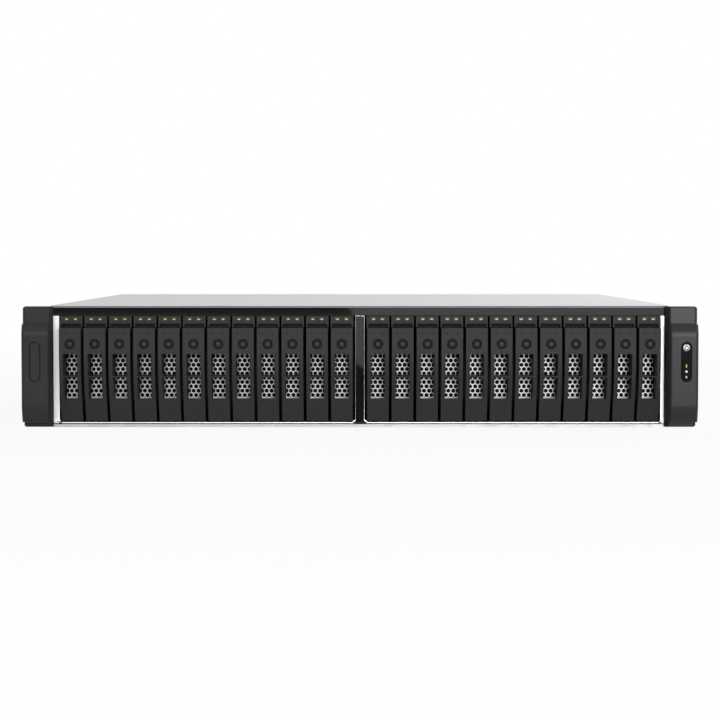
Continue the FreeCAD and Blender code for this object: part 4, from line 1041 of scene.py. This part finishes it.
class SERVER_OT_rear(bpy.types.Operator):
    """Fit out the back: inlets, supply grilles, port contacts and slot screws"""

    bl_idname = "server.rear"
    bl_label = "Rear details"

    # Width and height of each port's mouth in mm, and its contacts
    port_kinds = ((11.8, 8.6, 8), (11.8, 8.6, 8), (14.2, 9.0, 8), (14.2, 9.0, 8),
                  (13.2, 5.8, 4), (13.2, 5.8, 4))
    port_first = -133.15 * MM
    port_pitch = 21.0 * MM
    port_base = 10.8 * MM
    slot_first = -132.2 * MM
    slot_pitch = 20.3 * MM
    slots = 6

    def execute(self, context):
        for number in (1, 2):
            low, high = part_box("power_supply_%d" % number)
            self.inlet(number, low.x + 7.0 * MM, (low.z + high.z) / 2)
            self.supply_grille(number, low, high)
        self.port_contacts()
        self.slot_screws()
        return {"FINISHED"}

    def inlet(self, number, left, z):
        """The mains inlet with its three blades, and the light above it."""
        x = left + 12.25 * MM
        body = rear_block(x, z, 12.15, 8.4, -15.9, 0.6)
        half, rise, bevel_half, bevel_z = 10.6 * MM, 6.4 * MM, 7.2 * MM, z + 3.2 * MM
        mouth = prism([(x - half, z - rise), (x + half, z - rise), (x + half, bevel_z),
                       (x + bevel_half, z + rise), (x - bevel_half, z + rise), (x - half, bevel_z)],
                      REAR - 14.5 * MM, REAR + 3 * MM)
        blades = [rear_block(x + dx * MM, z + dz * MM, 1.0, 2.0, -15.0, -2.0)
                  for dx, dz in ((-6.0, -0.8), (6.0, -0.8), (0.0, 2.6))]
        lamp_x, lamp_z, lamp_radius = left + 29.0 * MM, z + 13.5 * MM, 1.3 * MM
        lamp = prism(circle(lamp_x, lamp_z, lamp_radius, 24), REAR - 0.1 * MM, REAR + 0.5 * MM)
        parts = [(solid([body], ([mouth],), edge=0.4 * MM), "inlet"), (solid(blades, edge=0.3 * MM), "pin"),
                 (solid([lamp], edge=0.2 * MM), "rear_green")]
        build("inlet_%d" % number, parts, "supply_%d" % number)

    def supply_grille(self, number, low, high):
        """Two fields of round holes over a dark sheet, painted shade behind the holes."""
        face, thick, pitch, radius = REAR + 0.55 * MM, -0.4 * MM, 3.8 * MM, 1.35 * MM
        sheets, painted_shade_backing = [], []
        # Each field: its sides, and how far its bottom and its lowest row lie under the top in mm
        for left, right, drop, first in ((low.x + 39.0 * MM, high.x - 3.0 * MM, 13.6, 11.2),
                                         (low.x + 3.0 * MM, low.x + 33.0 * MM, 9.6, 7.3)):
            bottom = high.z - drop * MM
            # A dark sheet behind the holes stands in for the shade inside the supply: painted shade.
            painted_shade_backing.append(block((left, REAR, bottom),
                                 (right, REAR + 0.1 * MM, high.z - 1.6 * MM)))
            holes = punched_sheet(left + 1.5 * MM, bottom + 0.2 * MM, right - 2.0 * MM,
                                  high.z - 1.8 * MM, face, thick, pitch, radius,
                                  left + 2.0 * MM, high.z - first * MM)
            sheets.append((start_mesh([holes]), "supply"))
        build("supply_grille_%d" % number, sheets + [(solid(painted_shade_backing), "inlet")],
              "supply_%d" % number)

    def port_contacts(self):
        """The tongue and gold contacts in each port, and the lights over the network ports."""
        tongue_drop, contact_drop = 1.4 * MM, 2.375 * MM
        lamp_x, lamp_z = 4.4 * MM, 21.6 * MM
        tongues, contacts, lamps = [], [], []
        for i, (wide, tall, count) in enumerate(self.port_kinds):
            x = self.port_first + self.port_pitch * i
            top = self.port_base + tall * MM
            tongues.append(rear_block(x, top - tongue_drop, wide / 2 - 1.2, 0.8, -15.4, -3.0))
            row = (wide - 4.0) * MM
            for k in range(count):
                contacts.append(rear_block(x - row / 2 + row / (count - 1) * k, top - contact_drop,
                                           0.3, 0.225, -14.0, -3.6))
        for i in (0, 1):
            for side in SIDES:
                x = self.port_first + self.port_pitch * i + side * lamp_x
                lamps.append(rear_block(x, lamp_z, 1.2, 0.25, -0.2, 0.3))
        parts = [(solid(tongues, edge=0.15 * MM), "inlet"), (solid(contacts), "pin"),
                 (solid(lamps), "rear_green")]
        build("port_contacts", parts, "chassis")

    def slot_screws(self):
        """The cross-headed screws of the slot covers."""
        z, radius, root, face = 78.2 * MM, 3.0 * MM, REAR + 0.7 * MM, REAR + 2.6 * MM
        # The cross: half its length, half its width and its two depths in mm
        long, thin, start, end = 1.9, 0.4, 1.7, 4.0
        heads, across, upright = [], [], []
        for i in range(self.slots):
            x = self.slot_first + self.slot_pitch * i
            heads.append(prism(circle(x, z, radius, 32), root, face))
            across.append(rear_block(x, z, long, thin, start, end))
            upright.append(rear_block(x, z, thin, long, start, end))
        build("slot_screws", [(solid(heads, (across, upright), edge=0.2 * MM), "ports")], "chassis")


class SERVER_OT_stage(bpy.types.Operator):
    """Set up the floor, the soft studio light, the white surroundings and the camera"""

    bl_idname = "server.stage"
    bl_label = "Stage"

    def execute(self, context):
        scene = context.scene
        scene.view_settings.view_transform = "Standard"
        self.surroundings(scene)
        self.floor(scene)
        self.flag(scene)
        self.lamps(scene)
        self.camera(scene)
        return {"FINISHED"}

    def seen_white(self, tree):
        """Factor that is 1 for the rays that should meet white surroundings."""
        path = add_node(tree, "ShaderNodeLightPath")
        first = add_node(tree, "ShaderNodeMath", {"operation": "MAXIMUM"},
                         {0: path.outputs["Is Camera Ray"], 1: path.outputs["Is Glossy Ray"]})
        return add_node(tree, "ShaderNodeMath", {"operation": "MAXIMUM"},
                        {0: first, 1: path.outputs["Is Transmission Ray"]})

    def surroundings(self, scene):
        world = bpy.data.worlds.new("white_studio")
        scene.world = world
        world.use_nodes = True
        tree = world.node_tree
        tree.nodes.clear()
        strength = add_node(tree, "ShaderNodeMapRange", {"To Min": 0.35, "To Max": 1.0},
                            {"Value": self.seen_white(tree)})
        sky = add_node(tree, "ShaderNodeBackground", {"Color": (1.0, 1.0, 1.0, 1.0)},
                       {"Strength": strength})
        add_node(tree, "ShaderNodeOutputWorld", None, {"Surface": sky})

    def sheet(self, scene, name, corners, material):
        """A flat piece of the stage, of one or more four-cornered faces."""
        mesh = bpy.data.meshes.new(name)
        faces = [tuple(range(i, i + 4)) for i in range(0, len(corners), 4)]
        mesh.from_pydata(corners, [], faces)
        mesh.materials.append(material)
        piece = bpy.data.objects.new(name, mesh)
        scene.collection.objects.link(piece)
        return piece

    def floor(self, scene):
        """White paper that keeps the shadow near the server and runs out to white further off."""
        material, tree, shader = new_material("Floor_paper_sweep",
                                              {"Roughness": 0.9, "Specular IOR Level": 0.0,
                                               "Base Color": (0.6, 0.6, 0.6, 1.0)})
        points = add_node(tree, "ShaderNodeTexCoord").outputs["Object"]
        away = add_node(tree, "ShaderNodeVectorMath", {"operation": "LENGTH"}, {"Vector": points})
        share = add_node(tree, "ShaderNodeMapRange",
                         {"From Min": 0.4, "From Max": 1.6, "To Min": 0.93, "To Max": 1.0},
                         {"Value": away.outputs["Value"]})
        fade = add_node(tree, "ShaderNodeMath", {"operation": "MULTIPLY"},
                        {0: share, 1: self.seen_white(tree)})
        white = add_node(tree, "ShaderNodeEmission", {"Color": (1.0, 1.0, 1.0, 1.0), "Strength": 1.0})
        blend = add_node(tree, "ShaderNodeMixShader", None, {"Fac": fade, 1: shader, 2: white})
        feed(tree, tree.nodes["Material Output"], {"Surface": blend})
        reach = 14.0
        floor = self.sheet(scene, "floor", [(-reach, -reach, 0), (reach, -reach, 0),
                                            (reach, reach, 0), (-reach, reach, 0)], material)
        floor.location.z = -0.2 * MM

    def flag(self, scene):
        """Black felt before the server, seen only in its shine and mostly in the glossy strips."""
        material, _, _ = new_material("Flag_felt_black", {"Roughness": 1.0, "Specular IOR Level": 0.0,
                                                          "Base Color": (0.003, 0.003, 0.003, 1.0)})
        y, left, low, high = FRONT - 2.4, -1.0, 0.0195, 0.07
        upright = [(left, y, low), (-0.0112, y, low), (-0.048, y, high), (left, y, high)]
        half, near = 0.02, FRONT - 0.05
        lying = [(-half, near, 0.0), (half, near, 0.0), (half, FRONT - 0.63, 0.0),
                 (-half, FRONT - 1.25, 0.0)]
        flag = self.sheet(scene, "flag", upright + lying, material)
        flag.visible_camera = False
        flag.visible_diffuse = False
        flag.visible_shadow = False

    def lamps(self, scene):
        """Soft boxes: place in metres, width, height and power in watts."""
        aim = Vector((0.0, -0.1, 0.05))
        for name, spot, wide, tall, power in (
                ("front", Vector((0.55, -2.5, 0.42)), 1.1, 0.7, 25.0),
                ("right", Vector((2.2, -1.4, 1.2)), 1.6, 1.4, 8.0),
                ("left", Vector((-0.7, -2.4, 0.85)), 1.0, 0.7, 5.0),
                ("top", Vector((1.05, 0.15, 1.2)), 1.2, 1.0, 9.5),
                ("rear", Vector((1.5, 2.4, 1.3)), 1.8, 1.4, 18.0)):
            data = bpy.data.lights.new(name, "AREA")
            data.shape = "RECTANGLE"
            data.size = wide
            data.size_y = tall
            data.energy = power
            lamp = bpy.data.objects.new(name, data)
            lamp.location = spot
            lamp.rotation_mode = "QUATERNION"
            lamp.rotation_quaternion = (aim - spot).to_track_quat("-Z", "Y")
            scene.collection.objects.link(lamp)

    def camera(self, scene):
        data = bpy.data.cameras.new("camera")
        data.sensor_width = 36.0
        data.lens = 116.85
        data.shift_y = 0.0222
        data.clip_end = 60.0
        camera = bpy.data.objects.new("camera", data)
        camera.location = (0.0015, FRONT - 1.684, 0.1229)
        look_down, turn = 2.92, 0.049
        camera.rotation_euler = (math.radians(90 - look_down), 0.0, math.radians(turn))
        scene.collection.objects.link(camera)
        scene.camera = camera


class SERVER_PT_panel(bpy.types.Panel):
    """Lists the steps that dress the server"""

    bl_label = "Storage server"
    bl_idname = "SERVER_PT_panel"
    bl_space_type = "VIEW_3D"
    bl_region_type = "UI"
    bl_category = "Server"

    def draw(self, context):
        for operator in OPERATORS:
            self.layout.operator(operator.bl_idname)
        for name in GROUPS:
            settings = getattr(context.scene, name)
            column = self.layout.column()
            for key in settings.__annotations__:
                column.prop(settings, key, text=key.replace("_", " ").capitalize())


GROUPS = {"server_lever": LeverSizes, "server_tray": TraySizes, "server_ear": EarSizes,
          "server_colours": FinishColours}
OPERATORS = (SERVER_OT_finishes, SERVER_OT_front, SERVER_OT_trays, SERVER_OT_levers, SERVER_OT_ears,
             SERVER_OT_button, SERVER_OT_rear, SERVER_OT_stage)


def register():
    for group in GROUPS.values():
        bpy.utils.register_class(group)
    for operator in OPERATORS:
        bpy.utils.register_class(operator)
    bpy.utils.register_class(SERVER_PT_panel)
    for name, group in GROUPS.items():
        setattr(bpy.types.Scene, name, bpy.props.PointerProperty(type=group))


def unregister():
    for name in GROUPS:
        delattr(bpy.types.Scene, name)
    bpy.utils.unregister_class(SERVER_PT_panel)
    for operator in OPERATORS:
        bpy.utils.unregister_class(operator)
    for group in GROUPS.values():
        bpy.utils.unregister_class(group)


def main():
    register()
    for operator in OPERATORS:
        group, name = operator.bl_idname.split(".")
        getattr(getattr(bpy.ops, group), name)()
    bpy.context.view_layer.update()


if __name__ == "__main__":
    main()
